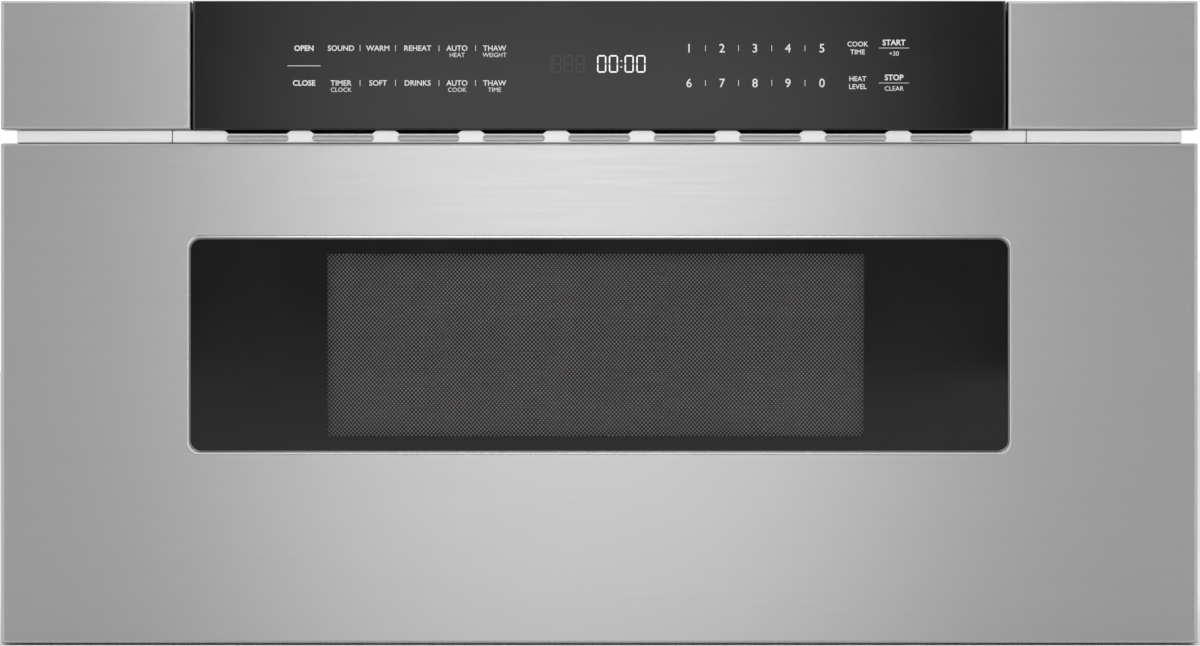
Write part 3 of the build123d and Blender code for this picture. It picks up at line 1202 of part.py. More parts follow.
# Enamelled floor and side walls, folded from one sheet, with the lamp's holes in the right wall.
with BuildPart() as cavity_wrap:
    block(OVEN_X, (FRAME_BACK, CAVITY_BACK), (CAVITY_UNDER_Z, CAVITY_TOP_Z))
    block(
        (-CAVITY_HALF, CAVITY_HALF),
        (FRAME_BACK, CAVITY_BACK),
        (CAVITY_FLOOR_Z, CAVITY_TOP_Z),
        mode=Mode.SUBTRACT,
    )
    with BuildSketch(Plane.YZ.offset(CAVITY_HALF)):
        with Locations((at_depth(LAMP_MIDDLE), LAMP_Z)):
            with GridLocations(LAMP_HOLE_PITCH, LAMP_HOLE_PITCH, LAMP_HOLES, LAMP_HOLES):
                Circle(LAMP_HOLE_R)
    extrude(amount=CAVITY_SHEET, mode=Mode.SUBTRACT)
cavity_wrap.part.label = "cavity_wrap"
export_step(cavity_wrap.part, "parts/cavity_wrap.step")

VAPOUR_HOLE_R = 2.0
VAPOUR_HOLE_PITCH = (20.0, 8.0)
VAPOUR_HOLES = (16, 3)
COUPLING_R = 30.0

# Roof with the stirrer dome and the vapour holes under the exhaust duct.
with BuildPart() as cavity_roof:
    block(OVEN_X, (FRAME_BACK, CAVITY_BACK), (CAVITY_TOP_Z, ROOF_Z))
    with BuildSketch(Plane.XY.offset(ROOF_Z)):
        with Locations((0, at_depth(CAVITY_MIDDLE))):
            RectangleRounded(DOME_SIDE, DOME_SIDE, DOME_CORNER)
    extrude(amount=DOME_RISE)
    with BuildSketch(Plane.XY.offset(CAVITY_TOP_Z)):
        with Locations((0, at_depth(CAVITY_MIDDLE))):
            RectangleRounded(
                DOME_SIDE - 2 * CAVITY_SHEET, DOME_SIDE - 2 * CAVITY_SHEET, DOME_CORNER - CAVITY_SHEET
            )
    extrude(amount=DOME_RISE, mode=Mode.SUBTRACT)
    with BuildSketch(Plane.XY.offset(CAVITY_TOP_Z)):
        with Locations((0, at_depth(CAVITY_MIDDLE))):
            Circle(COUPLING_R)
        with Locations((0, at_depth(FRAME_BACK + DUCT_LENGTH / 2))):
            with GridLocations(*VAPOUR_HOLE_PITCH, *VAPOUR_HOLES):
                Circle(VAPOUR_HOLE_R)
    extrude(amount=DOME_RISE + CAVITY_SHEET, mode=Mode.SUBTRACT)
cavity_roof.part.label = "cavity_roof"
export_step(cavity_roof.part, "parts/cavity_roof.step")

# Back wall of the oven box.
with BuildPart() as cavity_back:
    block(OVEN_X, (CAVITY_BACK, CAVITY_BACK + CAVITY_SHEET), (CAVITY_UNDER_Z, ROOF_Z))
cavity_back.part.label = "cavity_back"
export_step(cavity_back.part, "parts/cavity_back.step")

# Four folded posts that hold the oven box over the base plate.
with BuildPart() as cavity_supports:
    for middle in (FRAME_BACK + SUPPORT_INSET, CAVITY_BACK - SUPPORT_INSET):
        for side, hand in SIDES:
            post_x = about(hand * SUPPORT_X, SUPPORT_WIDTH)
            post_y = about(middle, SUPPORT_WIDTH)
            block(post_x, post_y, (BASE_SHEET, BASE_SHEET + CASE_SHEET))
            block(post_x, (post_y[0], post_y[0] + CASE_SHEET), (BASE_SHEET, CAVITY_UNDER_Z))
            block(post_x, post_y, (CAVITY_UNDER_Z - CASE_SHEET, CAVITY_UNDER_Z))
cavity_supports.part.label = "cavity_supports"
export_step(cavity_supports.part, "parts/cavity_supports.step")

# Mica plate under the dome: microwaves pass it, steam doesn't.
with BuildPart() as stirrer_cover:
    with BuildSketch(Plane.XY.offset(CAVITY_TOP_Z - STIRRER_COVER_THICKNESS)):
        with Locations((0, at_depth(CAVITY_MIDDLE))):
            RectangleRounded(STIRRER_COVER_SIDE, STIRRER_COVER_SIDE, DOME_CORNER)
    extrude(amount=STIRRER_COVER_THICKNESS)
stirrer_cover.part.label = "stirrer_cover"
export_step(stirrer_cover.part, "parts/stirrer_cover.step")

STIRRER_Z = (CAVITY_TOP_Z + DOME_TOP_Z) / 2
STIRRER_HUB_R = 11.0
STIRRER_HUB_HEIGHT = 6.0
STIRRER_VANE = (26.0, 1.5)
STIRRER_TILT = 18.0
STIRRER_SHAFT_SEAT = 6.0
STIRRER_BORE_DEPTH = 8.0
STIRRER_SHAFT_LENGTH = WAVEGUIDE_TOP_Z + STIRRER_SHAFT_SEAT - STIRRER_Z
STIRRER_EAR_R = 6.0
STIRRER_EAR_SHEET = 2.0
STIRRER_CAN_STEP = 1.0

# Stirrer: a hub with tilted vanes, hung on a shaft from the motor on top of the waveguide.
with BuildPart() as stirrer_blade:
    with Locations((0, at_depth(CAVITY_MIDDLE), STIRRER_Z)):
        Cylinder(STIRRER_HUB_R, STIRRER_HUB_HEIGHT)
        with PolarLocations(STIRRER_RADIUS / 2, STIRRER_VANES):
            Box(STIRRER_RADIUS, *STIRRER_VANE, rotation=(STIRRER_TILT, 0, 0))
    with Locations((0, at_depth(CAVITY_MIDDLE), STIRRER_Z + STIRRER_SHAFT_LENGTH / 2)):
        Cylinder(STIRRER_SHAFT_R, STIRRER_SHAFT_LENGTH)
stirrer_blade.part.label = "stirrer_blade"
export_step(stirrer_blade.part, "parts/stirrer_blade.step")

# Synchronous motor for the stirrer: a flat can on an eared plate.
with BuildPart() as stirrer_motor:
    with BuildSketch(Plane.XY.offset(WAVEGUIDE_TOP_Z)):
        with Locations((0, at_depth(CAVITY_MIDDLE))):
            Circle(STIRRER_MOTOR_R)
            with GridLocations(2 * STIRRER_MOTOR_R + STIRRER_EAR_R, 0, 2, 1):
                Circle(STIRRER_EAR_R)
    extrude(amount=STIRRER_EAR_SHEET)
    with BuildSketch(Plane.XY.offset(WAVEGUIDE_TOP_Z)):
        with Locations((0, at_depth(CAVITY_MIDDLE))):
            Circle(STIRRER_MOTOR_R - STIRRER_CAN_STEP)
    extrude(amount=STIRRER_MOTOR_HEIGHT)
    with BuildSketch(Plane.XY.offset(WAVEGUIDE_TOP_Z)):
        with Locations((0, at_depth(CAVITY_MIDDLE))):
            Circle(STIRRER_SHAFT_R + RUN_PLAY)
    extrude(amount=STIRRER_BORE_DEPTH, mode=Mode.SUBTRACT)
stirrer_motor.part.label = "stirrer_motor"
export_step(stirrer_motor.part, "parts/stirrer_motor.step")

# Waveguide: a closed steel duct from the magnetron to the dome.
ANTENNA_HOLE_R = 14.0
WAVEGUIDE_REACH = (CAVITY_MIDDLE - WAVEGUIDE_OVERRUN, REAR_PARTS_DEPTH + WAVEGUIDE_OVERRUN)
with BuildPart() as waveguide:
    block(about(0, WAVEGUIDE_WIDTH), WAVEGUIDE_REACH, (DOME_TOP_Z, WAVEGUIDE_TOP_Z))
    block(
        about(0, WAVEGUIDE_WIDTH - 2 * CAVITY_SHEET),
        (WAVEGUIDE_REACH[0] + CAVITY_SHEET, WAVEGUIDE_REACH[1] - CAVITY_SHEET),
        (DOME_TOP_Z + CAVITY_SHEET, WAVEGUIDE_TOP_Z - CAVITY_SHEET),
        mode=Mode.SUBTRACT,
    )
    with BuildSketch(Plane.XY.offset(DOME_TOP_Z)):
        with Locations((0, at_depth(CAVITY_MIDDLE))):
            Circle(COUPLING_R)
        with Locations((0, at_depth(REAR_PARTS_DEPTH))):
            Circle(ANTENNA_HOLE_R)
    extrude(amount=CAVITY_SHEET, mode=Mode.SUBTRACT)
    with BuildSketch(Plane.XY.offset(WAVEGUIDE_TOP_Z - CAVITY_SHEET)):
        with Locations((0, at_depth(CAVITY_MIDDLE))):
            Circle(STIRRER_SHAFT_R + CAVITY_SHEET)
    extrude(amount=CAVITY_SHEET, mode=Mode.SUBTRACT)
waveguide.part.label = "waveguide"
export_step(waveguide.part, "parts/waveguide.step")

# Exhaust duct from the vapour holes to the louvres in the reveal, open below and in front.
DUCT_TOP_Z = BAND_BOTTOM_Z + CASE_SHEET
with BuildPart() as exhaust_duct:
    block(about(0, DUCT_WIDTH), (FRAME_BACK, FRAME_BACK + DUCT_LENGTH), (ROOF_Z, DUCT_TOP_Z))
    block(
        about(0, DUCT_WIDTH - 2 * CASE_SHEET),
        (FRAME_BACK, FRAME_BACK + DUCT_LENGTH - CASE_SHEET),
        (ROOF_Z, DUCT_TOP_Z - CASE_SHEET),
        mode=Mode.SUBTRACT,
    )
exhaust_duct.part.label = "exhaust_duct"
export_step(exhaust_duct.part, "parts/exhaust_duct.step")

# Lamp housing on the right wall, with its bulb.
LAMP_X = (OVEN_X[1], OVEN_X[1] + LAMP_REACH)
with BuildPart() as oven_lamp:
    block(LAMP_X, about(LAMP_MIDDLE, LAMP_SIDE), about(LAMP_Z, LAMP_SIDE))
    block(
        (LAMP_X[0], LAMP_X[1] - LAMP_WALL),
        about(LAMP_MIDDLE, LAMP_SIDE - 2 * LAMP_WALL),
        about(LAMP_Z, LAMP_SIDE - 2 * LAMP_WALL),
        mode=Mode.SUBTRACT,
    )
    with BuildSketch(Plane.YZ.offset(LAMP_X[1] - LAMP_WALL - BULB_LENGTH)):
        with Locations((at_depth(LAMP_MIDDLE), LAMP_Z)):
            Circle(BULB_R)
    extrude(amount=BULB_LENGTH)
    fillet(oven_lamp.faces().filter_by(Axis.X).sort_by(Axis.X)[1].edges(), BULB_ROUND)
oven_lamp.part.label = "oven_lamp"
export_step(oven_lamp.part, "parts/oven_lamp.step")

# =====================================================================
# Rear compartment
# =====================================================================

YOKE_WIDTH = 92.0
YOKE_LENGTH = 76.0
YOKE_HEIGHT = 62.0
YOKE_SHEET = 2.0
MAGNETRON_PLATE = 1.5
MAGNETRON_EAR = 8.0
ANODE_R = 20.0
FIN_COUNT = 6
FIN_PITCH = 9.0
FIN_SHEET = 1.0
ANTENNA_R = 8.0
ANTENNA_LENGTH = 24.0
FILTER_CAN = (44.0, 36.0, 26.0)
YOKE_TOP_Z = DOME_TOP_Z - MAGNETRON_PLATE
YOKE_LOW_Z = YOKE_TOP_Z - YOKE_HEIGHT
YOKE_DEPTH = about(REAR_PARTS_DEPTH, YOKE_LENGTH)

# Magnetron: a plate under the waveguide, a finned anode in a steel yoke, the antenna and the filter can.
with BuildPart() as magnetron:
    block(about(0, YOKE_WIDTH + 2 * MAGNETRON_EAR), YOKE_DEPTH, (YOKE_TOP_Z, DOME_TOP_Z))
    block(about(0, YOKE_WIDTH), YOKE_DEPTH, (YOKE_LOW_Z, YOKE_TOP_Z))
    block(
        about(0, YOKE_WIDTH - 2 * YOKE_SHEET),
        YOKE_DEPTH,
        (YOKE_LOW_Z + YOKE_SHEET, YOKE_TOP_Z - YOKE_SHEET),
        mode=Mode.SUBTRACT,
    )
    with Locations((0, at_depth(REAR_PARTS_DEPTH), (YOKE_LOW_Z + YOKE_TOP_Z) / 2)):
        Cylinder(ANODE_R, YOKE_HEIGHT)
    for fin in range(1, FIN_COUNT + 1):
        block(
            about(0, YOKE_WIDTH - YOKE_SHEET),
            about(REAR_PARTS_DEPTH, YOKE_LENGTH - 2 * YOKE_SHEET),
            about(YOKE_LOW_Z + fin * FIN_PITCH, FIN_SHEET),
        )
    with Locations((0, at_depth(REAR_PARTS_DEPTH), DOME_TOP_Z + ANTENNA_LENGTH / 2)):
        Cylinder(ANTENNA_R, ANTENNA_LENGTH)
    can_depth = about(REAR_PARTS_DEPTH, FILTER_CAN[1])
    block(about(0, FILTER_CAN[0]), can_depth, (YOKE_LOW_Z - FILTER_CAN[2], YOKE_LOW_Z))
magnetron.part.label = "magnetron"
export_step(magnetron.part, "parts/magnetron.step")

CORE_WIDTH = 104.0
CORE_LENGTH = 62.0
CORE_HEIGHT = 88.0
CORE_LEG = 18.0
CORE_FOOT = 10.0
CORE_FOOT_SHEET = 2.0
CORE_FOOT_INSET = 6.0
COIL_GAP = 0.5
COIL_OUTSET = 15.0
COIL_CORNER = 12.0
COIL_LEVELS = ((0.02, 0.42), (0.5, 0.98))
CORE_DEPTH = about(REAR_PARTS_DEPTH, CORE_LENGTH)
CORE_LOW_Z = BASE_SHEET + CORE_LEG
CORE_WINDOW_HEIGHT = CORE_HEIGHT - 2 * CORE_LEG

# High-voltage transformer: a laminated core on the base plate, welded to its foot.
with BuildPart() as transformer_core:
    block(about(TRANSFORMER_X, CORE_WIDTH), CORE_DEPTH, (BASE_SHEET, BASE_SHEET + CORE_HEIGHT))
    for side, hand in SIDES:
        core_window = side_of(hand, CORE_LEG, CORE_WIDTH / 2 - CORE_LEG)
        block(
            (TRANSFORMER_X + core_window[0], TRANSFORMER_X + core_window[1]),
            CORE_DEPTH,
            (CORE_LOW_Z, CORE_LOW_Z + CORE_WINDOW_HEIGHT),
            mode=Mode.SUBTRACT,
        )
    block(
        about(TRANSFORMER_X, CORE_WIDTH + 2 * CORE_FOOT),
        about(REAR_PARTS_DEPTH, CORE_LENGTH - 2 * CORE_FOOT_INSET),
        (BASE_SHEET, BASE_SHEET + CORE_FOOT_SHEET),
    )
transformer_core.part.label = "transformer_core"
export_step(transformer_core.part, "parts/transformer_core.step")

# The transformer's two windings round the core's middle leg.
with BuildPart() as transformer_coils:
    for low, high in COIL_LEVELS:
        with BuildSketch(Plane.XY.offset(CORE_LOW_Z + low * CORE_WINDOW_HEIGHT)):
            with Locations((TRANSFORMER_X, at_depth(REAR_PARTS_DEPTH))):
                RectangleRounded(
                    CORE_WIDTH - 2 * (CORE_LEG + COIL_GAP), CORE_LENGTH + 2 * COIL_OUTSET, COIL_CORNER
                )
                Rectangle(2 * (CORE_LEG + COIL_GAP), CORE_LENGTH + 2 * COIL_GAP, mode=Mode.SUBTRACT)
        extrude(amount=(high - low) * CORE_WINDOW_HEIGHT)
transformer_coils.part.label = "transformer_coils"
export_step(transformer_coils.part, "parts/transformer_coils.step")

CAPACITOR_SECTION = (54.0, 34.0)
CAPACITOR_HEIGHT = 92.0
CAPACITOR_ROUND = 2.0
TERMINAL_R = 4.0
TERMINAL_PITCH = 20.0
TERMINAL_HEIGHT = 9.0
CLAMP_SHEET = 1.5
CLAMP_RISE = 40.0
CLAMP_HEIGHT = 12.0
CLAMP_LEG = (14.0, 16.0)
CLAMP_SECTION = (CAPACITOR_SECTION[0] + 2 * CLAMP_SHEET, CAPACITOR_SECTION[1] + 2 * CLAMP_SHEET)
CLAMP_LEG_X = CAPACITOR_X - CAPACITOR_SECTION[1] / 2 - CLAMP_LEG[0] / 2

# Oil-filled capacitor with its strap, whose leg stands on the base plate.
with BuildPart() as hv_capacitor:
    with BuildSketch(Plane.XY.offset(BASE_SHEET)):
        with Locations((CAPACITOR_X, at_depth(REAR_PARTS_DEPTH))):
            SlotOverall(*CAPACITOR_SECTION, rotation=90)
    extrude(amount=CAPACITOR_HEIGHT)
    fillet(hv_capacitor.faces().sort_by(Axis.Z)[-1].edges(), CAPACITOR_ROUND)
    with BuildSketch(Plane.XY.offset(BASE_SHEET + CAPACITOR_HEIGHT)):
        with Locations((CAPACITOR_X, at_depth(REAR_PARTS_DEPTH))):
            with GridLocations(0, TERMINAL_PITCH, 1, 2):
                Circle(TERMINAL_R)
    extrude(amount=TERMINAL_HEIGHT)
    with BuildSketch(Plane.XY.offset(BASE_SHEET + CLAMP_RISE)):
        with Locations((CAPACITOR_X, at_depth(REAR_PARTS_DEPTH))):
            SlotOverall(*CLAMP_SECTION, rotation=90)
    extrude(amount=CLAMP_HEIGHT)
    block(
        about(CLAMP_LEG_X, CLAMP_LEG[0]),
        about(REAR_PARTS_DEPTH, CLAMP_LEG[1]),
        (BASE_SHEET, BASE_SHEET + CLAMP_RISE + CLAMP_HEIGHT / 2),
    )
hv_capacitor.part.label = "hv_capacitor"
export_step(hv_capacitor.part, "parts/hv_capacitor.step")

FILTER_BOARD = (68.0, 66.0)
FILTER_DROP = 63.0
FILTER_STANDOFF = 8.0
FILTER_CHOKE = (26.0, 23.0, 30.0)
FILTER_CAP = (16.0, 15.0, 26.0)
FILTER_PARTS_X = 16.0
FILTER_Z = BUSH_Z - FILTER_DROP
FILTER_BACK = PANEL_FRONT - FILTER_STANDOFF
FILTER_FRONT = FILTER_BACK - BOARD_THICKNESS

# Mains filter board on pillars from the back panel, under the bush.
with BuildPart() as noise_filter:
    block(about(BUSH_X, FILTER_BOARD[0]), (FILTER_FRONT, FILTER_BACK), about(FILTER_Z, FILTER_BOARD[1]))
    with BuildSketch(facing_front(FILTER_BACK)):
        with Locations((BUSH_X, FILTER_Z)):
            with GridLocations(FILTER_BOARD[0] - 2 * BOSS_INSET, FILTER_BOARD[1] - 2 * BOSS_INSET, 2, 2):
                Circle(BOSS_R)
    extrude(amount=-FILTER_STANDOFF)
    for part_x, (wide, deep, tall) in ((-FILTER_PARTS_X, FILTER_CHOKE), (FILTER_PARTS_X, FILTER_CAP)):
        block(about(BUSH_X + part_x, wide), (FILTER_FRONT - deep, FILTER_FRONT), about(FILTER_Z, tall))
noise_filter.part.label = "noise_filter"
export_step(noise_filter.part, "parts/noise_filter.step")

FAN_FRONT = PANEL_FRONT - FAN_DEPTH
FAN_CORNER = 7.0
FAN_STRUTS = 3
FAN_STRUT_WIDTH = 5.0
FAN_SEAT = 5.0
FAN_SEAT_SKIN = 2.0
FAN_RUN_GAP = 2.0
FAN_HUB_ROUND = 2.0
FAN_BLADE_CHORD = 26.0
FAN_BLADE_SHEET = 2.0
ROTOR_FRONT = FAN_FRONT + FAN_SEAT + FAN_RUN_GAP
ROTOR_LENGTH = FAN_DEPTH - FAN_SEAT - 2 * FAN_RUN_GAP
BLADE_INNER_R = FAN_HUB_R - FAN_RUN_GAP
BLADE_OUTER_R = FAN_BORE_R - FAN_RUN_GAP
BLADE_SIZE = (BLADE_OUTER_R - BLADE_INNER_R, FAN_BLADE_SHEET, FAN_BLADE_CHORD)

# Cooling fan's square frame on the back panel; struts in front of the rotor hold its bearing seat.
with BuildPart() as cooling_fan_frame:
    with BuildSketch(facing_front(FAN_FRONT)):
        with Locations((FAN_X, FAN_Z)):
            RectangleRounded(FAN_SIDE, FAN_SIDE, FAN_CORNER)
            Circle(FAN_BORE_R, mode=Mode.SUBTRACT)
    extrude(amount=-FAN_DEPTH)
    with BuildSketch(facing_front(FAN_FRONT)):
        with Locations((FAN_X, FAN_Z)):
            Circle(FAN_HUB_R)
            with PolarLocations((FAN_HUB_R + FAN_BORE_R) / 2, FAN_STRUTS):
                Rectangle(FAN_BORE_R - FAN_HUB_R + FAN_STRUT_WIDTH, FAN_STRUT_WIDTH)
    extrude(amount=-FAN_SEAT)
    with BuildSketch(facing_front(FAN_FRONT + FAN_SEAT_SKIN)):
        with Locations((FAN_X, FAN_Z)):
            Circle(FAN_SHAFT_R + RUN_PLAY)
    extrude(amount=-FAN_SEAT, mode=Mode.SUBTRACT)
cooling_fan_frame.part.label = "cooling_fan_frame"
export_step(cooling_fan_frame.part, "parts/cooling_fan_frame.step")

# Fan rotor: a hub, pitched blades and the shaft in the frame's seat.
with BuildPart() as cooling_fan_rotor:
    with BuildSketch(facing_front(ROTOR_FRONT)):
        with Locations((FAN_X, FAN_Z)):
            Circle(FAN_HUB_R)
    extrude(amount=-ROTOR_LENGTH)
    fillet(cooling_fan_rotor.faces().sort_by(Axis.Y)[-1].edges(), FAN_HUB_ROUND)
    with Locations(facing_front(ROTOR_FRONT + ROTOR_LENGTH / 2)):
        with Locations((FAN_X, FAN_Z)):
            with PolarLocations((BLADE_INNER_R + BLADE_OUTER_R) / 2, FAN_BLADES):
                Box(*BLADE_SIZE, rotation=(FAN_BLADE_TWIST, 0, 0))
    with BuildSketch(facing_front(FAN_FRONT + FAN_SEAT_SKIN + FIT_GAP)):
        with Locations((FAN_X, FAN_Z)):
            Circle(FAN_SHAFT_R)
    extrude(amount=-(FAN_SEAT + FAN_RUN_GAP))
cooling_fan_rotor.part.label = "cooling_fan_rotor"
export_step(cooling_fan_rotor.part, "parts/cooling_fan_rotor.step")

# =====================================================================
# Interlock: a finger on the drawer front meets a sprung plunger on each side
# =====================================================================

PLUNGER_FRONT = LATCH_REACH + FIT_GAP
SWITCH_FRONT = PLUNGER_FRONT + PLUNGER_STANDOUT
SWITCH_BACK = SWITCH_FRONT + SWITCH_BODY[1]
SWITCH_BORE = PLUNGER_SHANK + 3 * PLUNGER_TRAVEL
ANGLE_FOOT = 10.0
ANGLE_HEIGHT = 28.0

# Fingers on plates, fixed to the pan's flange, that pass through the frame's slots when the drawer shuts.
with BuildPart() as latch_hooks:
    for side, hand in SIDES:
        plate_x = about(hand * LATCH_X, LATCH_PLATE[0])
        block(plate_x, (PAN_BACK, PAN_BACK + ARM_SHEET), about(LATCH_Z, LATCH_PLATE[1]))
        finger_x = about(hand * LATCH_X, LATCH_FINGER)
        block(finger_x, (PAN_BACK, LATCH_REACH), about(LATCH_Z, LATCH_FINGER))
latch_hooks.part.label = "latch_hooks"
export_step(latch_hooks.part, "parts/latch_hooks.step")

# Safety switches, each with the bore that its plunger slides in.
with BuildPart() as interlock_switches:
    for side, hand in SIDES:
        switch_x = about(hand * LATCH_X, SWITCH_BODY[0])
        block(switch_x, (SWITCH_FRONT, SWITCH_BACK), about(LATCH_Z, SWITCH_BODY[2]))
    with BuildSketch(facing_front(SWITCH_FRONT)):
        with Locations((-LATCH_X, LATCH_Z), (LATCH_X, LATCH_Z)):
            Circle(PLUNGER_R + RUN_PLAY)
    extrude(amount=-SWITCH_BORE, mode=Mode.SUBTRACT)
interlock_switches.part.label = "interlock_switches"
export_step(interlock_switches.part, "parts/interlock_switches.step")

# Angle brackets behind the frame that hold the switches.
with BuildPart() as interlock_brackets:
    for side, hand in SIDES:
        angle_x = LATCH_X + SWITCH_BODY[0] / 2
        angle_z = about(LATCH_Z, ANGLE_HEIGHT)
        block(side_of(hand, angle_x, angle_x + CASE_SHEET), (FRAME_BACK, SWITCH_BACK), angle_z)
        block(side_of(hand, angle_x, angle_x + ANGLE_FOOT), (FRAME_BACK, FRAME_BACK + CASE_SHEET), angle_z)
interlock_brackets.part.label = "interlock_brackets"
export_step(interlock_brackets.part, "parts/interlock_brackets.step")

# Sprung plungers, round-nosed pins in the switches' bores.
for side, hand in SIDES:
    with BuildPart() as plunger:
        with BuildSketch(facing_front(PLUNGER_FRONT)):
            with Locations((hand * LATCH_X, LATCH_Z)):
                Circle(PLUNGER_R)
        extrude(amount=-(PLUNGER_STANDOUT + PLUNGER_SHANK))
        fillet(plunger.faces().sort_by(Axis.Y)[0].edges(), PLUNGER_TIP)
    plunger.part.label = f"{side}_switch_plunger"
    export_step(plunger.part, f"parts/{side}_switch_plunger.step")
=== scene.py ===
import json
import math

import bmesh
import bpy
from mathutils import Matrix, Vector

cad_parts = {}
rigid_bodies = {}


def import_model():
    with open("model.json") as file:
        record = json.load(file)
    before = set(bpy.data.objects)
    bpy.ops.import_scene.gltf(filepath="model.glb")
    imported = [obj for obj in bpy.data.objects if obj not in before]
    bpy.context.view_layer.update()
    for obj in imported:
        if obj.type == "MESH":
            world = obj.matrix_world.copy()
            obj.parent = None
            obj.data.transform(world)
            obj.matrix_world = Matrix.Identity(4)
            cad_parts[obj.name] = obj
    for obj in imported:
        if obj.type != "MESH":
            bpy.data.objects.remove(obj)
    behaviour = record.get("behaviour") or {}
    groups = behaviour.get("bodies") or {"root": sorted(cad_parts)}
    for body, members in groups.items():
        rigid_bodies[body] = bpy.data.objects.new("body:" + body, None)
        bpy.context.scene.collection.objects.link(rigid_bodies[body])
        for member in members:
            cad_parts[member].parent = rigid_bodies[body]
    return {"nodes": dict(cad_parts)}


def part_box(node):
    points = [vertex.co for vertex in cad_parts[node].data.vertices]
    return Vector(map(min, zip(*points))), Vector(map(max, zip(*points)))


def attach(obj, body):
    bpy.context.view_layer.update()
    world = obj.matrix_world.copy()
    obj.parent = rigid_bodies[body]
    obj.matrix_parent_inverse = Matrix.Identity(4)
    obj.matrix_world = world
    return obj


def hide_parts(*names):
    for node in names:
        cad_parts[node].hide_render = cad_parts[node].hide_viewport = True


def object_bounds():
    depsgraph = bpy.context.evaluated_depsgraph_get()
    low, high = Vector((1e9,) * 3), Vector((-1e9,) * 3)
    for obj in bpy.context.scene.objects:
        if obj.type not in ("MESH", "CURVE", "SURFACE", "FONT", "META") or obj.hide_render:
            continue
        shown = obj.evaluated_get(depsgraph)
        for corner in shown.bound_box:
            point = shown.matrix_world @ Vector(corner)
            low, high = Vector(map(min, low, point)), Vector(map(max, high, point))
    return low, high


for spare in list(bpy.data.objects):
    bpy.data.objects.remove(spare)
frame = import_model()
cad_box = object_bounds()


# ---- Drawer front and end pans ----
# Skin of 1 mm stainless sheet, folded round a pan, and two narrower pans left and right of the touch glass.
# All three are rubbed along their length with a belt, so the grain is fine, long and level.
class Value:
    """An output of a node. A sum, difference or product of values lays the Math node for it."""

    def __init__(self, tree, socket=None):
        self.tree = tree
        self.socket = socket

    def feed(self, entry, given):
        """Links a value to an input socket, or sets the socket to a number or colour."""
        if isinstance(given, Value):
            self.tree.links.new(given.socket, entry)
        else:
            entry.default_value = given

    def node(self, kind, settings, inputs, output=0):
        """Lays one node from its type, its settings, and the values or links of its sockets."""
        made = self.tree.nodes.new(kind)
        for name, setting in settings.items():
            setattr(made, name, setting)
        for name, given in inputs.items():
            self.feed(made.inputs[name], given)
        return Value(self.tree, made.outputs[output] if made.outputs else None)

    def math(self, operation, *terms):
        """Lays a Math node on values and numbers."""
        return self.node("ShaderNodeMath", {"operation": operation}, dict(enumerate(terms)))

    def __add__(self, other):
        return self.math("ADD", self, other)

    __radd__ = __add__

    def __sub__(self, other):
        return self.math("SUBTRACT", self, other)

    def __rsub__(self, other):
        return self.math("SUBTRACT", other, self)

    def __mul__(self, other):
        return self.math("MULTIPLY", self, other)

    __rmul__ = __mul__

    def over(self, low, high, start=0.0, end=1.0):
        """Runs smoothly from start to end while the value runs from low to high."""
        ends = {"Value": self, "From Min": low, "From Max": high, "To Min": start, "To Max": end}
        return self.node("ShaderNodeMapRange", {"interpolation_type": "SMOOTHSTEP"}, ends)

    def spread(self, start=0.0, end=1.0):
        """Runs from start to end over the middle levels of a noise, where nearly all of it lies."""
        return self.over(0.3, 0.7, start, end)

    def tint(self, low, high):
        """The colour low where the value is 0, and high where it is 1."""
        factor, first, second, mixed = 0, 6, 7, 2
        ends = {factor: self, first: low, second: high}
        return self.node("ShaderNodeMix", {"data_type": "RGBA"}, ends, mixed)

    def part(self, axis):
        """One coordinate of a place or direction."""
        return self.node("ShaderNodeSeparateXYZ", {}, {0: self}, "XYZ".index(axis))

    def stretched(self, *scale):
        """Scales a place along each axis, so that a pattern on it is drawn out along the smallest scale."""
        return self.node("ShaderNodeMapping", {}, {"Vector": self, "Scale": scale})

    def noise(self, scale, detail=2.0):
        return self.node("ShaderNodeTexNoise", {}, {"Vector": self, "Scale": scale, "Detail": detail})

    def cells(self, scale, output="Color"):
        return self.node("ShaderNodeTexVoronoi", {}, {"Vector": self, "Scale": scale}, output)


class Finish:
    """One finish: a shader with its fixed values, and the patterns that vary it over the surface."""

    def __init__(self, name, **fixed):
        self.material = bpy.data.materials.new(name)
        self.material.use_nodes = True
        self.material.node_tree.nodes.clear()
        start = Value(self.material.node_tree)
        self.at = start.node("ShaderNodeTexCoord", {}, {}, "Object")
        self.shader = start.node("ShaderNodeBsdfPrincipled", {}, {})
        start.node("ShaderNodeOutputMaterial", {}, {"Surface": self.shader})
        self.vary(**fixed)

    def vary(self, **sockets):
        """Gives the shader's sockets their values or links; base_color is the socket Base Color."""
        for name, given in sockets.items():
            title = name.replace("_", " ").title().replace("Ior", "IOR")
            self.at.feed(self.shader.socket.node.inputs[title], given)
        return self

    def relief(self, height, depth):
        """Raises the surface by up to depth metres where height is 1."""
        bump = height.node("ShaderNodeBump", {}, {"Height": height, "Distance": depth})
        return self.vary(normal=bump)


def grey(level, warmth=0.0):
    """A neutral colour, a little warm or cold."""
    return (level * (1 + warmth), level, level * (1 - warmth), 1.0)


def dress(finish, *nodes):
    """Gives a finish to CAD nodes."""
    for node in nodes:
        mesh = frame["nodes"][node].data
        mesh.materials.clear()
        mesh.materials.append(finish.material)


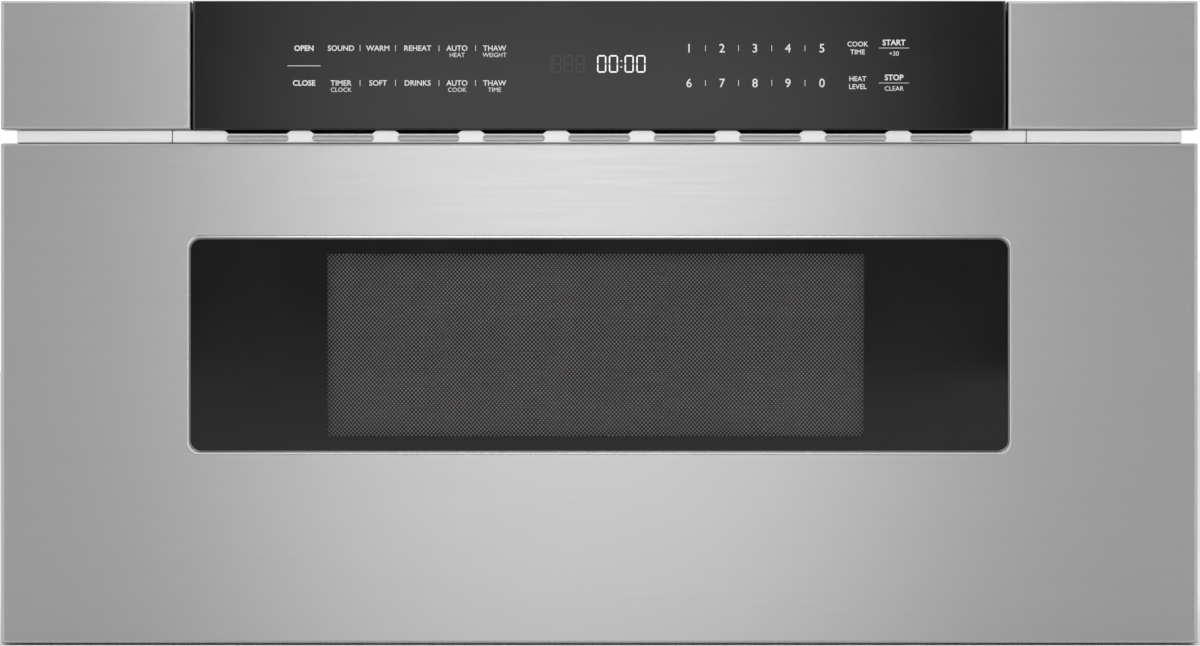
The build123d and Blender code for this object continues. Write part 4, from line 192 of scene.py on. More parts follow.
def rubbed(name, level, roughness, grain=0.000004):
    """Belt-rubbed steel with level grain, which spreads what it mirrors upright."""
    steel = Finish(name, metallic=1.0, anisotropic=0.93, anisotropic_rotation=0.25)
    line = steel.at.stretched(16.0, 1900.0, 1900.0).noise(1.0)
    cloud = steel.at.stretched(1.0, 3.0, 3.0).noise(1.5)
    shade = (line * 0.6 + cloud * 0.4).spread()
    steel.vary(
        base_color=shade.tint(grey(level * 0.96), grey(level * 1.03)),
        roughness=line.spread(roughness - 0.02, roughness + 0.04),
    )
    return steel.relief(line, grain)


dress(rubbed("rubbed_stainless", 0.54, 0.37), "drawer_skin", "left_wing", "right_wing")


# ---- Window bezel ----
# Pressed steel trim whose flange lies behind the skin. Its lip is bright outside, and along the inside edge,
# which has round corners, its colour is darkened as painted shade.
BEZEL_FLANGE, BEZEL_LIP, INSIDE_CORNER = 0.00425, 0.00275, 0.0065
SHADE_TO, BRIGHT_FROM = 0.0012, 0.0016
INNER_SHADE_LEVEL, BRIGHT = 0.17, 0.80
bezel_low, bezel_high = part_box("window_bezel")
bezel = rubbed("bright_bezel", BRIGHT, 0.16, grain=0.000003)


def past_straight(axis):
    """The square of how far a point of the bezel lies past the straight run of its inside edge."""
    index = "XYZ".index(axis)
    half_run = (bezel_high[index] - bezel_low[index]) / 2 - BEZEL_FLANGE - BEZEL_LIP - INSIDE_CORNER
    off_middle = bezel.at.part(axis) - (bezel_low[index] + bezel_high[index]) / 2
    past = off_middle.math("MAXIMUM", off_middle.math("ABSOLUTE", off_middle) - half_run, 0.0)
    return past * past


# Painted shade: the lip's colour darkens towards its inside edge, where the chamfer faces the glass.
from_inside = bezel.at.math("SQRT", past_straight("X") + past_straight("Z")) - INSIDE_CORNER
bezel.vary(base_color=from_inside.over(SHADE_TO, BRIGHT_FROM).tint(grey(INNER_SHADE_LEVEL), grey(BRIGHT)))
dress(bezel, "window_bezel")


# ---- Window glass and its print ----
# Tempered glass of 4 mm with a slight tint, held behind the bezel. It is printed black all round the clear
# area, up to its edges.
glass = Finish("tinted_glass", base_color=grey(0.012), ior=1.45)
smear = glass.at.noise(9.0, 3.0)
glass.vary(roughness=smear.over(0.4, 0.7, 0.015, 0.06), alpha=smear.spread(0.12, 0.14))
dress(glass, "window_glass")


def shaped(name, bm, finish):
    """Makes a mesh object of a bmesh in the row frame, with its finish."""
    mesh = bpy.data.meshes.new(name)
    bm.to_mesh(mesh)
    bm.free()
    mesh.materials.append(finish.material)
    made = bpy.data.objects.new(name, mesh)
    bpy.context.scene.collection.objects.link(made)
    return made


def piece(name, bm, finish, body, slot, *replaced):
    """Makes a piece that rides on a body and may stand for CAD nodes, which it hides; slot is not used."""
    made = shaped(name, bm, finish)
    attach(made, body)
    if replaced:
        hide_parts(*replaced)


def facing_front(x, z, y):
    """The matrix that brings a pattern drawn flat in X and Y to x, z on the plane y, facing the front."""
    return Matrix.Translation((x, y, z)) @ Matrix.Rotation(math.pi / 2, 4, "X")


def upright(bm, x, z, y):
    """Brings all that is drawn flat to x, z on the plane y, facing the front."""
    bmesh.ops.transform(bm, matrix=facing_front(x, z, y), verts=bm.verts)


def oblong(bm, width, height, x=0.0, y=0.0):
    """A flat rectangle, returned as its face."""
    made = bmesh.ops.create_grid(bm, x_segments=1, y_segments=1, size=0.5)["verts"]
    bmesh.ops.scale(bm, vec=(width, height, 1.0), verts=made)
    bmesh.ops.translate(bm, vec=(x, y, 0.0), verts=made)
    return made[0].link_faces[0]


CLEAR_WIDTH, CLEAR_HEIGHT, CLEAR_X = 0.3412, 0.1162, -0.0022
PRINT_INSET, PRINT_STEP = 0.0003, 0.00002
glass_low, glass_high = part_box("window_glass")
window_z = (glass_low.z + glass_high.z) / 2
bm = bmesh.new()
sides = [
    oblong(bm, glass_high.x - glass_low.x - 2 * PRINT_INSET, glass_high.z - glass_low.z - 2 * PRINT_INSET),
    oblong(bm, CLEAR_WIDTH, CLEAR_HEIGHT, CLEAR_X),
]
rims = [edge for side in sides for edge in side.edges]
bmesh.ops.delete(bm, geom=sides, context="FACES_ONLY")
bmesh.ops.bridge_loops(bm, edges=rims)
upright(bm, 0.0, window_z, glass_low.y - PRINT_STEP)
ink = Finish("black_print", ior=1.45)
haze = ink.at.noise(11.0, 3.0)
ink.vary(base_color=haze.tint(grey(0.003), grey(0.005)), roughness=haze.spread(0.03, 0.08))
piece("window_print", bm, ink, "drawer", "black_screen")


# ---- Screen and film ----
# Thin steel sheet, enamelled black and perforated in staggered rows, which keeps the microwaves in. It lies
# against the back of the glass, and a pale polymer film behind it shows through the holes.
PITCH_X, PITCH_Z = 0.0025, 0.00135
HOLE_R, HOLE_CORNERS = 0.00064, 6
SCREEN_SETBACK = 0.00005


def edges_among(corners):
    """The edges that have both ends among some corners."""
    linked = {edge for corner in corners for edge in corner.link_edges}
    return [edge for edge in linked if all(end in corners for end in edge.verts)]


def corners_of(geometry):
    """The corners in what an operator returns."""
    return [item for item in geometry if isinstance(item, bmesh.types.BMVert)]


def holed_cell(bm, x, y):
    """One hole in its rectangle of sheet; a rectangle has a point amid its top and bottom sides too."""
    rim = bmesh.ops.create_circle(bm, segments=HOLE_CORNERS, radius=HOLE_R)["verts"]
    cell = bmesh.ops.create_circle(bm, segments=HOLE_CORNERS, radius=HOLE_R)["verts"]
    for corner in cell:
        side = 0.0 if abs(corner.co.x) < HOLE_R / 10 else math.copysign(PITCH_X / 2, corner.co.x)
        corner.co = Vector((side, math.copysign(PITCH_Z / 2, corner.co.y), 0.0))
    bmesh.ops.bridge_loops(bm, edges=edges_among(rim + cell))
    bmesh.ops.translate(bm, vec=(x, y, 0.0), verts=rim + cell)


def tiled(bm, count, step_x, step_y):
    """Repeats all that is drawn so far, a step further each time, and merges the edges that meet."""
    drawn = bm.faces[:]
    for copy in range(1, count):
        corners = corners_of(bmesh.ops.duplicate(bm, geom=drawn)["geom"])
        bmesh.ops.translate(bm, vec=(copy * step_x, copy * step_y, 0.0), verts=corners)
    bmesh.ops.remove_doubles(bm, verts=bm.verts, dist=HOLE_R / 20)


holes_across = round(CLEAR_WIDTH / PITCH_X) + 3
row_pairs = round(CLEAR_HEIGHT / PITCH_Z / 2) + 1
bm = bmesh.new()
holed_cell(bm, 0.0, 0.0)
holed_cell(bm, PITCH_X / 2, PITCH_Z)
tiled(bm, holes_across, PITCH_X, 0.0)
tiled(bm, row_pairs, 0.0, 2 * PITCH_Z)
field_x, field_z = (holes_across - 0.5) * PITCH_X / 2, (row_pairs - 0.5) * PITCH_Z
screen_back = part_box("perforated_screen")[1].y
upright(bm, CLEAR_X - field_x, window_z - field_z, screen_back - SCREEN_SETBACK)
black_enamel = Finish("black_enamel", roughness=0.5, specular_ior_level=0.25)
black_enamel.vary(base_color=black_enamel.at.noise(240.0).tint(grey(0.014), grey(0.024)))
piece("screen_sheet", bm, black_enamel, "drawer", "black_screen", "perforated_screen")

film = Finish("pale_film", roughness=0.6)
film.vary(base_color=film.at.noise(30.0, 3.0).tint(grey(0.78), grey(0.88)))
dress(film, "window_film")


# ---- Drawer pan, choke cover and bumpers ----
# Enamelled steel pan that the skin folds round, and behind it a moulded cover over the choke groove, which
# seals the oven's mouth. Four rubber buttons on the pan take the knock when the drawer shuts.
def enamelled(name, level, fleck, roughness):
    """Fired enamel, glossy, with fine flecks and a slight orange peel."""
    coat = Finish(name)
    speck = coat.at.noise(700.0, 1.0).over(0.62, 0.70)
    cloud = coat.at.noise(6.0)
    coat.vary(
        base_color=speck.tint(cloud.tint(grey(level * 0.94), grey(level * 1.04)), grey(fleck)),
        roughness=cloud.spread(roughness, roughness + 0.08),
    )
    return coat.relief(coat.at.noise(260.0, 1.0), 0.000012)


def moulded(name, colour, roughness, grain=1500.0, depth=0.000014):
    """Moulded plastic or rubber with a spark-eroded grain and slight flow marks."""
    plastic = Finish(name)
    flow = plastic.at.noise(14.0, 3.0)
    spark = plastic.at.noise(grain, 1.0)
    dark = tuple(channel * 0.88 for channel in colour[:3]) + (1.0,)
    plastic.vary(
        base_color=flow.spread().tint(dark, colour),
        roughness=spark.spread(roughness, roughness + 0.12),
    )
    return plastic.relief(spark, depth)


choke_plastic = moulded("choke_plastic", grey(0.05), 0.42)
dress(enamelled("pan_enamel", 0.105, 0.16, 0.30), "door_pan")
dress(choke_plastic, "choke_cover")
dress(moulded("bumper_rubber", grey(0.022), 0.72, grain=900.0, depth=0.00002), "bumpers")


# ---- Drawer tub and floor ----
# Tub that carries the food, moulded in grey plastic with round corners and fixed to the pan. A plate of opal
# glass-ceramic lies on a ledge in its floor.
dress(moulded("tub_plastic", (0.36, 0.36, 0.365, 1.0), 0.34), "drawer_tub")

opal = Finish("opal_ceramic", coat_roughness=0.03, coat_weight=0.6)
milk = opal.at.noise(24.0, 4.0)
opal.vary(
    base_color=milk.tint(grey(0.78, 0.01), grey(0.86, 0.015)),
    roughness=milk.spread(0.06, 0.14),
)
dress(opal.relief(opal.at.noise(90.0), 0.00001), "ceramic_floor")


# ---- Arms and runners ----
# Two bent arms bolted to the pan carry the drawer on three-member ball slides: zinc-plated rails, steel cages
# with a dozen balls a strip, and galvanised brackets that stand on the base plate.
def plated(name, level, roughness, warmth=0.0, streak=(60.0, 3.0, 60.0)):
    """Zinc-plated or drawn metal, whose streaks run along the axis with the smallest scale."""
    zinc = Finish(name, metallic=1.0)
    drawn = zinc.at.stretched(*streak).noise(6.0, 3.0)
    cloud = zinc.at.noise(18.0, 3.0)
    shade = (drawn * 0.5 + cloud * 0.5).spread()
    zinc.vary(
        base_color=shade.tint(grey(level * 0.86, warmth), grey(level * 1.06, warmth)),
        roughness=shade.over(0.0, 1.0, roughness, roughness + 0.1),
    )
    return zinc.relief(drawn, 0.000004)


def galvanised(name, level):
    """Hot-dip galvanised sheet with its spangle."""
    sheet = Finish(name, metallic=1.0)
    spangle = sheet.at.cells(150.0)
    cloud = sheet.at.noise(5.0, 3.0)
    shade = (spangle * 0.5 + cloud * 0.5).over(0.25, 0.75)
    sheet.vary(
        base_color=shade.tint(grey(level * 0.94, -0.012), grey(level * 1.05, -0.008)),
        roughness=spangle.over(0.1, 0.9, 0.36, 0.42),
    )
    return sheet.relief(sheet.at.noise(500.0), 0.000005)


zinc_rail = plated("zinc_rail", 0.58, 0.26, warmth=-0.01)
dress(zinc_rail, "outer_rails", "left_middle_rail", "right_middle_rail", "inner_rails", "drawer_arms")
dress(plated("ball_steel", 0.50, 0.18), "outer_ball_cages", "inner_ball_cages")
bracket_steel = galvanised("bracket_steel", 0.52)
dress(bracket_steel, "rail_brackets")


# ---- Drive ----
# Acetal rack fixed under the drawer, and a steel pinion in grease that moves it. The geared motor has a nylon
# case and stands on the base plate.
ACETAL = (0.74, 0.72, 0.66, 1.0)
dress(moulded("rack_acetal", ACETAL, 0.32, grain=1200.0, depth=0.000006), "drive_rack")
dress(plated("pinion_steel", 0.36, 0.2, warmth=0.01, streak=(3.0, 40.0, 40.0)), "drive_pinion")
dress(moulded("motor_nylon", grey(0.035), 0.38), "gear_motor")


# ---- Mounting frame and reveal ----
# Steel frame with a black coat, screwed to the cabinet. Bright satin strips fill the gap over the drawer, and
# the middle one is pressed into nine louvres that the case breathes through.
dress(moulded("frame_coat", grey(0.02), 0.5, grain=1100.0, depth=0.00001), "front_frame")
HOLLOW_FROM, HOLLOW_WHOLE = 0.0001, 0.0005
strip_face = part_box("reveal_strips")[0].y
satin = Finish("satin_reveal")
satin_line = satin.at.stretched(16.0, 1500.0, 1500.0).noise(1.0)
# Painted shade: behind the strips' face, in the pressed hollows, the satin is darker and fully metallic.
hollow_painted_shade = satin.at.part("Y").over(strip_face + HOLLOW_FROM, strip_face + HOLLOW_WHOLE)
satin.vary(
    base_color=hollow_painted_shade.tint(satin_line.tint(grey(0.90), grey(0.95)), grey(0.40)),
    roughness=satin_line.spread(0.30, 0.38) + hollow_painted_shade * 0.1,
    metallic=hollow_painted_shade.over(0.0, 1.0, 0.25, 1.0),
)
dress(satin, "vent_rail", "reveal_strips")


# ---- Touch glass ----
# Plate of black tempered glass, flush between the end pans in its carrier, with small round corners and a
# ground arris along its front edges.
PLATE_CORNER, PLATE_ARRIS, PLATE_SETBACK = 0.0015, 0.0003, 0.00003
band_low, band_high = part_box("control_glass")
bm = bmesh.new()
oblong(bm, band_high.x - band_low.x, band_high.z - band_low.z)
bmesh.ops.bevel(
    bm, geom=bm.verts[:], offset=PLATE_CORNER, segments=4, profile=0.5, affect="VERTICES", material=-1
)
front = corners_of(bmesh.ops.extrude_face_region(bm, geom=bm.faces[:])["geom"])
bmesh.ops.translate(bm, vec=(0.0, 0.0, band_high.y - band_low.y - PLATE_SETBACK), verts=front)
bmesh.ops.recalc_face_normals(bm, faces=bm.faces[:])
bmesh.ops.bevel(
    bm, geom=edges_among(front), offset=PLATE_ARRIS, segments=2, profile=0.5, affect="EDGES", material=-1
)
upright(bm, 0.0, (band_low.z + band_high.z) / 2, band_high.y)
black_glass = Finish("black_glass", ior=1.45)
dust = black_glass.at.noise(11.0, 3.0)
black_glass.vary(base_color=dust.tint(grey(0.005), grey(0.007)), roughness=dust.spread(0.03, 0.09))
piece("touch_glass", bm, black_glass, "cabinet", "black_glass", "control_glass")


# ---- Printed keys ----
# Words, digits and fine rules printed in white on the touch glass, in two rows. From left to right they are
# the drawer's keys, the presets, the ten digits, time and level, and start and stop.
INK_DEPTH = 0.00001
ink_y = band_low.y + INK_DEPTH


def written(bm, words, x, z, height, bold=0.0):
    """Sets words in capitals of that height, centred on x and z, on the glass's face."""
    capital_share, curve_steps = 0.682, 3
    curve = bpy.data.curves.new("words", "FONT")
    curve.body = words
    curve.align_x = "CENTER"
    curve.size = height / capital_share
    curve.offset = bold
    curve.resolution_u = curve_steps
    curve.extrude = INK_DEPTH
    holder = bpy.data.objects.new("words", curve)
    mesh = bpy.data.meshes.new_from_object(holder)
    mesh.transform(facing_front(x, z - height / 2, ink_y))
    bm.from_mesh(mesh)
    bpy.data.objects.remove(holder)
    bpy.data.curves.remove(curve)
    bpy.data.meshes.remove(mesh)


def rule(bm, x, z, width, height):
    """A printed line."""
    bar = bmesh.ops.create_cube(bm, size=1.0)["verts"]
    bmesh.ops.scale(bm, vec=(width, 2 * INK_DEPTH, height), verts=bar)
    bmesh.ops.translate(bm, vec=(x, ink_y, z), verts=bar)


TOP_ROW, LOW_ROW = 0.3785, 0.3564
WORD, UNDERWORD, DIGIT = 0.0033, 0.0027, 0.0053
BOLD, HALF_BOLD = 0.00012, 0.00006
bm = bmesh.new()

DRAWER_KEYS_X, DRAWER_RULE_Z, DRAWER_RULE = -0.1875, 0.3673, (0.021, 0.0004)
written(bm, "OPEN", DRAWER_KEYS_X, TOP_ROW, WORD, BOLD)
written(bm, "CLOSE", DRAWER_KEYS_X, LOW_ROW, WORD, BOLD)
rule(bm, DRAWER_KEYS_X, DRAWER_RULE_Z, *DRAWER_RULE)

PRESETS = {
    -0.1640: (("SOUND",), ("TIMER", "CLOCK")),
    -0.1405: (("WARM",), ("SOFT",)),
    -0.1154: (("REHEAT",), ("DRINKS",)),
    -0.0903: (("AUTO", "HEAT"), ("AUTO", "COOK")),
    -0.0665: (("THAW", "WEIGHT"), ("THAW", "TIME")),
}
UNDERWORD_DROP = 0.0043
for x, rows in PRESETS.items():
    for z, words in zip((TOP_ROW, LOW_ROW), rows):
        written(bm, words[0], x, z, WORD, HALF_BOLD)
        for under in words[1:]:
            written(bm, under, x, z - UNDERWORD_DROP, UNDERWORD)

DIVIDERS_X = (-0.1519, -0.1294, -0.1018, -0.0786, 0.0674, 0.0884, 0.1095, 0.1306)
DIVIDER = (0.00035, 0.0038)
for x in DIVIDERS_X:
    for z in (TOP_ROW, LOW_ROW):
        rule(bm, x, z, *DIVIDER)

DIGIT_KEYS = {0.05695: "16", 0.0779: "27", 0.09885: "38", 0.1198: "49", 0.1414: "50"}
for x, pair in DIGIT_KEYS.items():
    for z, digit in zip((TOP_ROW, LOW_ROW), pair):
        written(bm, digit, x, z, DIGIT, HALF_BOLD)

COOK_KEYS_X, COOK_KEYS = 0.1640, {0.3786: ("COOK", "TIME"), 0.3566: ("HEAT", "LEVEL")}
COOK_WORD, COOK_BOLD, COOK_SPLIT = 0.0030, 0.00005, 0.0025
for z, (upper, lower) in COOK_KEYS.items():
    written(bm, upper, COOK_KEYS_X, z + COOK_SPLIT, COOK_WORD, COOK_BOLD)
    written(bm, lower, COOK_KEYS_X, z - COOK_SPLIT, COOK_WORD, COOK_BOLD)

START_KEYS_X, START_KEYS = 0.1871, {0.3786: ("START", "+30"), 0.3564: ("STOP", "CLEAR")}
START_WORD, START_UNDERWORD, START_SPLIT, START_RULE = 0.0034, 0.0028, 0.0035, (0.0194, 0.0003)
for z, (upper, lower) in START_KEYS.items():
    written(bm, upper, START_KEYS_X, z + START_SPLIT, START_WORD, BOLD)
    rule(bm, START_KEYS_X, z, *START_RULE)
    written(bm, lower, START_KEYS_X, z - START_SPLIT, START_UNDERWORD)

white_ink = Finish("white_ink", roughness=0.5)
white_ink.vary(base_color=white_ink.at.noise(400.0).tint(grey(0.74), grey(0.86)))
piece("key_print", bm, white_ink, "cabinet", "black_glass")


# ---- Display numerals ----
# Numerals of seven bars that glow through the glass: four lit ones with a colon between, and to their left
# three unlit ones, with an unlit 1 in front that has only its two right-hand bars.
NUMERAL_WIDTH, NUMERAL_HEIGHT, NUMERALS_Z = 0.0058, 0.0111, 0.3685
BAR = 0.00085
BAR_GAP, BAR_TIP = BAR * 0.55, BAR * 0.4
half_w, half_h = (NUMERAL_WIDTH - BAR) / 2, (NUMERAL_HEIGHT - BAR) / 2
LYING = {"a": (0.0, half_h), "g": (0.0, 0.0), "d": (0.0, -half_h)}
STANDING = {
    "b": (half_w, half_h / 2),
    "c": (half_w, -half_h / 2),
    "e": (-half_w, -half_h / 2),
    "f": (-half_w, half_h / 2),
}


def numeral(bm, x, bars):
    """Bars with pointed ends: a to f are lettered clockwise from the top one, and g is in the middle."""
    for bar in bars:
        if bar in LYING:
            size = (2 * half_w - BAR_GAP, BAR)
            bar_x, bar_y = LYING[bar]
        else:
            size = (BAR, half_h - BAR_GAP)
            bar_x, bar_y = STANDING[bar]
        ends = oblong(bm, *size, x + bar_x, bar_y).verts[:]
        bmesh.ops.bevel(
            bm, geom=ends, offset=BAR_TIP, segments=1, profile=0.5, affect="VERTICES", material=-1
        )


LIT = {0.00153: "abcdef", 0.00899: "abcdef", 0.01897: "abcdef", 0.02643: "abcdef"}
COLON_X, COLON_Y = 0.01398, 0.0019
bm = bmesh.new()
for x, bars in LIT.items():
    numeral(bm, x, bars)
for y in (-COLON_Y, COLON_Y):
    oblong(bm, BAR, BAR, COLON_X, y)
upright(bm, 0.0, NUMERALS_Z, ink_y)
lit = Finish("lit_numerals", roughness=0.4, base_color=grey(0.1), emission_strength=1.0)
lit.vary(emission_color=lit.at.noise(300.0).tint(grey(0.86, -0.02), grey(1.0, -0.02)))
piece("display_lit", bm, lit, "cabinet", "display_black")

UNLIT = {-0.0335: "bc", -0.0270: "abcdefg", -0.0196: "abcdefg", -0.0122: "abcdefg"}
bm = bmesh.new()
for x, bars in UNLIT.items():
    numeral(bm, x, bars)
upright(bm, 0.0, NUMERALS_Z, ink_y)
unlit = Finish("unlit_numerals", roughness=0.4)
unlit.vary(base_color=unlit.at.noise(300.0).tint(grey(0.022), grey(0.028)))
piece("display_unlit", bm, unlit, "cabinet", "display_black")


# ---- Carrier and boards ----
# Moulded carrier round the touch glass. Behind the glass are the sensing board and the display in its case,
# and a ribbon cable runs from there to the power board, which stands on pillars behind the frame.
BOARD_SHEET, POWER_BOARD_Y = 0.0016, -0.2514


def circuit(name, front_y, sheet):
    """Solder mask on the board's sheet, whose front is at that depth, and pale and dark parts elsewhere."""
    board = Finish(name)
    depth = board.at.part("Y")
    blend = 0.0002
    in_front = 1 - depth.over(front_y + sheet, front_y + sheet + blend)
    bare = depth.over(front_y - blend, front_y) * in_front
    tracks = board.at.cells(260.0, "Distance").over(0.42, 0.5)
    parts = board.at.cells(45.0).over(0.35, 0.65).tint(grey(0.03), (0.55, 0.56, 0.5, 1.0))
    mask = tracks.tint((0.012, 0.085, 0.035, 1.0), (0.03, 0.16, 0.07, 1.0))
    return board.vary(base_color=bare.tint(parts, mask), roughness=bare.over(0.0, 1.0, 0.5, 0.28))


dress(moulded("carrier_plastic", grey(0.03), 0.4), "control_housing")
dress(circuit("sensing_board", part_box("touch_board")[0].y, BOARD_SHEET), "touch_board")
dress(circuit("power_electronics", POWER_BOARD_Y, BOARD_SHEET), "power_board")
dress(moulded("display_case", grey(0.02), 0.45), "display_module")
ribbed = Finish("ribbon", roughness=0.5)
wires = ribbed.at.stretched(1.0, 0.0, 0.0).noise(800.0, 0.0)
ribbed.vary(base_color=wires.over(0.45, 0.55).tint(grey(0.36, -0.02), grey(0.5, -0.02)))
dress(ribbed.relief(wires, 0.0002), "ribbon_cable")


# ---- Case ----
# Galvanised wrapper over the top and the sides, with a base plate and a back panel. Bright zinc screws hold
# the panel, and a nylon bush lines its hole for the mains lead.
dress(galvanised("case_steel", 0.60), "outer_wrap", "base_plate", "back_panel")
dress(plated("screw_zinc", 0.66, 0.2), "case_screws")
dress(moulded("bush_nylon", grey(0.018), 0.4), "cord_bush")


# ---- Oven box ----
# Enamelled steel box on four galvanised posts, with a domed roof, a mica plate under the aluminium stirrer in
# the dome, and a lamp on its right wall. The waveguide and the exhaust duct are galvanised.
dress(enamelled("oven_enamel", 0.50, 0.36, 0.24), "cavity_wrap", "cavity_roof", "cavity_back")
dress(bracket_steel, "cavity_supports")
mica = Finish("mica")
flakes = mica.at.cells(90.0)
mica.vary(
    base_color=flakes.over(0.2, 0.8).tint((0.50, 0.43, 0.31, 1.0), (0.62, 0.55, 0.42, 1.0)),
    roughness=flakes.over(0.2, 0.8, 0.35, 0.6),
)
dress(mica, "stirrer_cover")
dress(plated("stirrer_aluminium", 0.74, 0.32, streak=(8.0, 8.0, 8.0)), "stirrer_blade")
dress(galvanised("duct_steel", 0.56), "exhaust_duct", "waveguide")
dress(plated("motor_can", 0.50, 0.3), "stirrer_motor")
lamp_holder = Finish("lamp_holder", roughness=0.5)
heat = lamp_holder.at.noise(60.0)
lamp_holder.vary(base_color=heat.tint(grey(0.62, 0.03), grey(0.74, 0.02)))
dress(lamp_holder, "oven_lamp")


# ---- Rear compartment ----
# Magnetron with aluminium fins, transformer with its laminations and two enamelled copper coils, capacitor,
# mains filter board, and a moulded axial fan behind the grille.
dress(plated("magnetron_steel", 0.54, 0.3, streak=(3.0, 3.0, 500.0)), "magnetron")
laminated = Finish("laminations", metallic=0.6, roughness=0.45)
sheets = laminated.at.stretched(0.0, 1.0, 0.0).noise(1500.0, 1.0)
laminated.vary(base_color=sheets.spread().tint(grey(0.05), grey(0.14)))
dress(laminated.relief(sheets, 0.0001), "transformer_core")
wound = Finish("copper_coils", metallic=0.85, roughness=0.32)
turns = wound.at.stretched(0.0, 0.0, 1.0).noise(900.0, 0.0)
wound.vary(base_color=turns.over(0.35, 0.65).tint((0.30, 0.10, 0.04, 1.0), (0.66, 0.28, 0.12, 1.0)))
dress(wound.relief(turns, 0.0002), "transformer_coils")
dress(plated("capacitor_can", 0.70, 0.25), "hv_capacitor")
FILTER_SHEET = 0.003
dress(circuit("filter_board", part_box("noise_filter")[1].y - FILTER_SHEET, FILTER_SHEET), "noise_filter")
dress(moulded("fan_plastic", grey(0.03), 0.4), "cooling_fan_frame", "cooling_fan_rotor")


# ---- Interlock ----
# Two door switches in red plastic, on galvanised brackets behind the frame. Moulded fingers on the pan meet
# their acetal plungers when the drawer shuts.
dress(choke_plastic, "latch_hooks")
dress(bracket_steel, "interlock_brackets")
dress(moulded("switch_plastic", (0.42, 0.045, 0.03, 1.0), 0.4), "interlock_switches")
dress(moulded("plunger_plastic", ACETAL, 0.4), "left_switch_plunger", "right_switch_plunger")


# ---- Camera and floor ----
# The camera faces the front squarely, far off with a long lens. The object stands on a wide disc of pale
# paper, a hair below its base.
FOCAL_LENGTH, SENSOR, VIEW_WIDTH = 250.0, 36.0, 0.7619
CAMERA_X, CAMERA_Z = 0.00044, 0.204
camera = bpy.data.objects.new("camera", bpy.data.cameras.new("camera"))
camera.data.sensor_width = SENSOR
camera.data.lens = FOCAL_LENGTH
camera.data.clip_start = 0.1
camera.data.clip_end = 100.0
camera.location = (CAMERA_X, cad_box[0].y - VIEW_WIDTH * FOCAL_LENGTH / SENSOR, CAMERA_Z)
camera.rotation_euler = (math.pi / 2, 0.0, 0.0)
bpy.context.scene.collection.objects.link(camera)
bpy.context.scene.camera = camera

FLOOR_R, FLOOR_DROP = 30.0, 0.0005
bm = bmesh.new()
bmesh.ops.create_circle(bm, cap_ends=True, segments=96, radius=FLOOR_R)
bmesh.ops.translate(bm, vec=(0.0, 0.0, -FLOOR_DROP), verts=bm.verts)
paper = Finish("studio_paper", roughness=0.8)
paper.vary(base_color=paper.at.noise(3.0, 4.0).tint(grey(0.88), grey(0.91)))
shaped("floor", bm, paper)


# ---- Room ----
# The camera sees a white room, also through glass, and matt surfaces are lit by a slightly dimmer one. Steel
# and gloss mirror a front wall that is dim in its middle, bright to both sides and dark at its ends, and a
# pale room elsewhere.
WHITE, AMBIENT, ROOM = 1.0, 0.85, 0.85
WALL_MIDDLE, WALL_SIDES, WALL_ENDS = 0.26, 1.5, 0.1
# Where the front wall changes, as squares of the sideways part of a direction, and where it ends.
SIDES_FROM, SIDES_WHOLE, ENDS_FROM, ENDS_WHOLE = 0.06, 0.12, 0.40, 0.52
WALL_TO, ROOM_FROM = -0.45, -0.25
world = bpy.data.worlds.new("studio")
world.use_nodes = True
world.node_tree.nodes.clear()
bpy.context.scene.world = world
lay = Value(world.node_tree).node
direction = lay("ShaderNodeTexCoord", {}, {}, "Generated")
camera_ray = lay("ShaderNodeLightPath", {}, {}, "Is Camera Ray")
glass_ray = lay("ShaderNodeLightPath", {}, {}, "Is Transmission Ray")
mirror_ray = lay("ShaderNodeLightPath", {}, {}, "Is Glossy Ray")
aside = direction.part("X") * direction.part("X")
to_sides = aside.over(SIDES_FROM, SIDES_WHOLE, WALL_MIDDLE, WALL_SIDES)
wall = to_sides - aside.over(ENDS_FROM, ENDS_WHOLE, 0.0, WALL_SIDES - WALL_ENDS)
elsewhere = direction.part("Y").over(WALL_TO, ROOM_FROM)
mirrored = wall * (1 - elsewhere) + elsewhere * ROOM
level = AMBIENT + (camera_ray + glass_ray) * (WHITE - AMBIENT) + mirror_ray * (mirrored - AMBIENT)
colour = (level * (1 / WALL_SIDES)).tint(grey(0.0), grey(WALL_SIDES))
lay("ShaderNodeOutputWorld", {}, {"Surface": lay("ShaderNodeBackground", {}, {"Color": colour})})


# ---- Lamps ----
# A lit silk hangs in front of the object, brightest from 0.6 to 0.8 m up, and shows only where steel and
# glass mirror it. Three soft boxes, above and at both sides, light the rest.
LAMPS_AIM = (0.0, 0.0, 0.2)


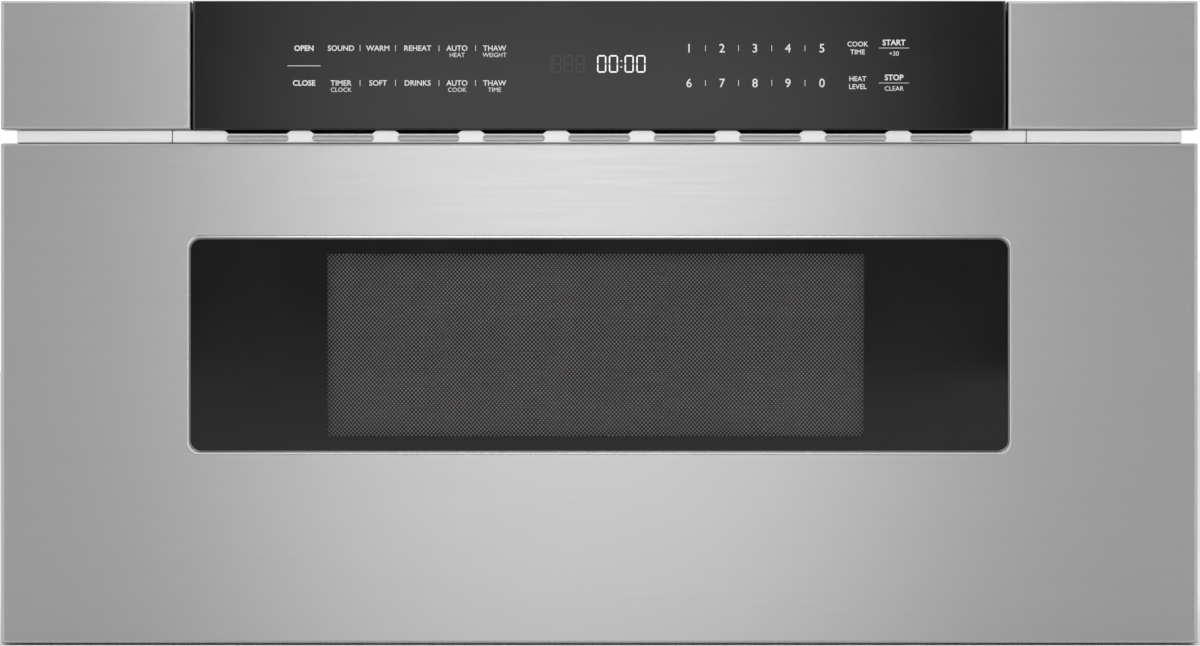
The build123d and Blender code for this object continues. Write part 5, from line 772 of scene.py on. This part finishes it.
def lamp(name, width, height, power, place):
    """A soft box of that size in metres, turned to the object, and out of the camera's sight."""
    light = bpy.data.lights.new(name, "AREA")
    light.shape = "RECTANGLE"
    light.size = width
    light.size_y = height
    light.energy = power
    made = bpy.data.objects.new(name, light)
    made.location = place
    made.rotation_euler = (Vector(LAMPS_AIM) - Vector(place)).to_track_quat("-Z", "Y").to_euler()
    made.visible_camera = False
    bpy.context.scene.collection.objects.link(made)


SILK_LOW, SILK_HIGH, SILK_WIDTH, SILK_Y = 0.02, 1.3, 1.0, -1.6
SILK_MIDDLE_X, SILK_STRENGTH = -0.022, 3.8
# The square of the distance from its middle at which the silk is dark.
SILK_DARK = 0.12
# From which height to which the silk's light changes, and from what share of its strength to what.
SILK_STEPS = (
    (0.06, 0.10, 0.4, 0.0),
    (0.26, 0.37, 0.0, 0.36),
    (0.38, 0.46, 0.0, -0.08),
    (0.47, 0.58, 0.0, 0.72),
    (0.80, 1.28, 0.0, -1.0),
)
bm = bmesh.new()
oblong(bm, SILK_WIDTH, SILK_HIGH - SILK_LOW)
bmesh.ops.rotate(bm, cent=(0.0, 0.0, 0.0), matrix=Matrix.Rotation(-math.pi / 2, 3, "X"), verts=bm.verts)
bmesh.ops.translate(bm, vec=(0.0, SILK_Y, (SILK_LOW + SILK_HIGH) / 2), verts=bm.verts)
glow = Finish("front_silk", base_color=grey(0.0), roughness=1.0, specular_ior_level=0.0)
across, upward = glow.at.part("X") - SILK_MIDDLE_X, glow.at.part("Z")
by_height = sum(upward.over(*step) for step in SILK_STEPS)
by_width = 1 - (across * across).over(0.0, SILK_DARK)
glow.vary(
    emission_strength=SILK_STRENGTH,
    emission_color=(by_width * by_height).tint(grey(0.0), grey(1.0)),
)
clear = glow.at.node("ShaderNodeBsdfTransparent", {}, {})
both = glow.at.node("ShaderNodeAddShader", {}, {0: glow.shader, 1: clear})
glow.at.feed(glow.material.node_tree.nodes["Material Output"].inputs["Surface"], both)
silk = shaped("front_box", bm, glow)
silk.visible_camera = False
silk.visible_diffuse = False
silk.visible_shadow = False
lamp("top_box", 1.8, 1.2, 8.0, (0.0, -0.5, 2.4))
lamp("left_box", 1.0, 1.4, 5.0, (-2.6, -1.2, 1.2))
lamp("right_box", 1.0, 1.4, 5.0, (2.6, -1.2, 1.2))

bpy.context.scene.view_settings.view_transform = "Standard"
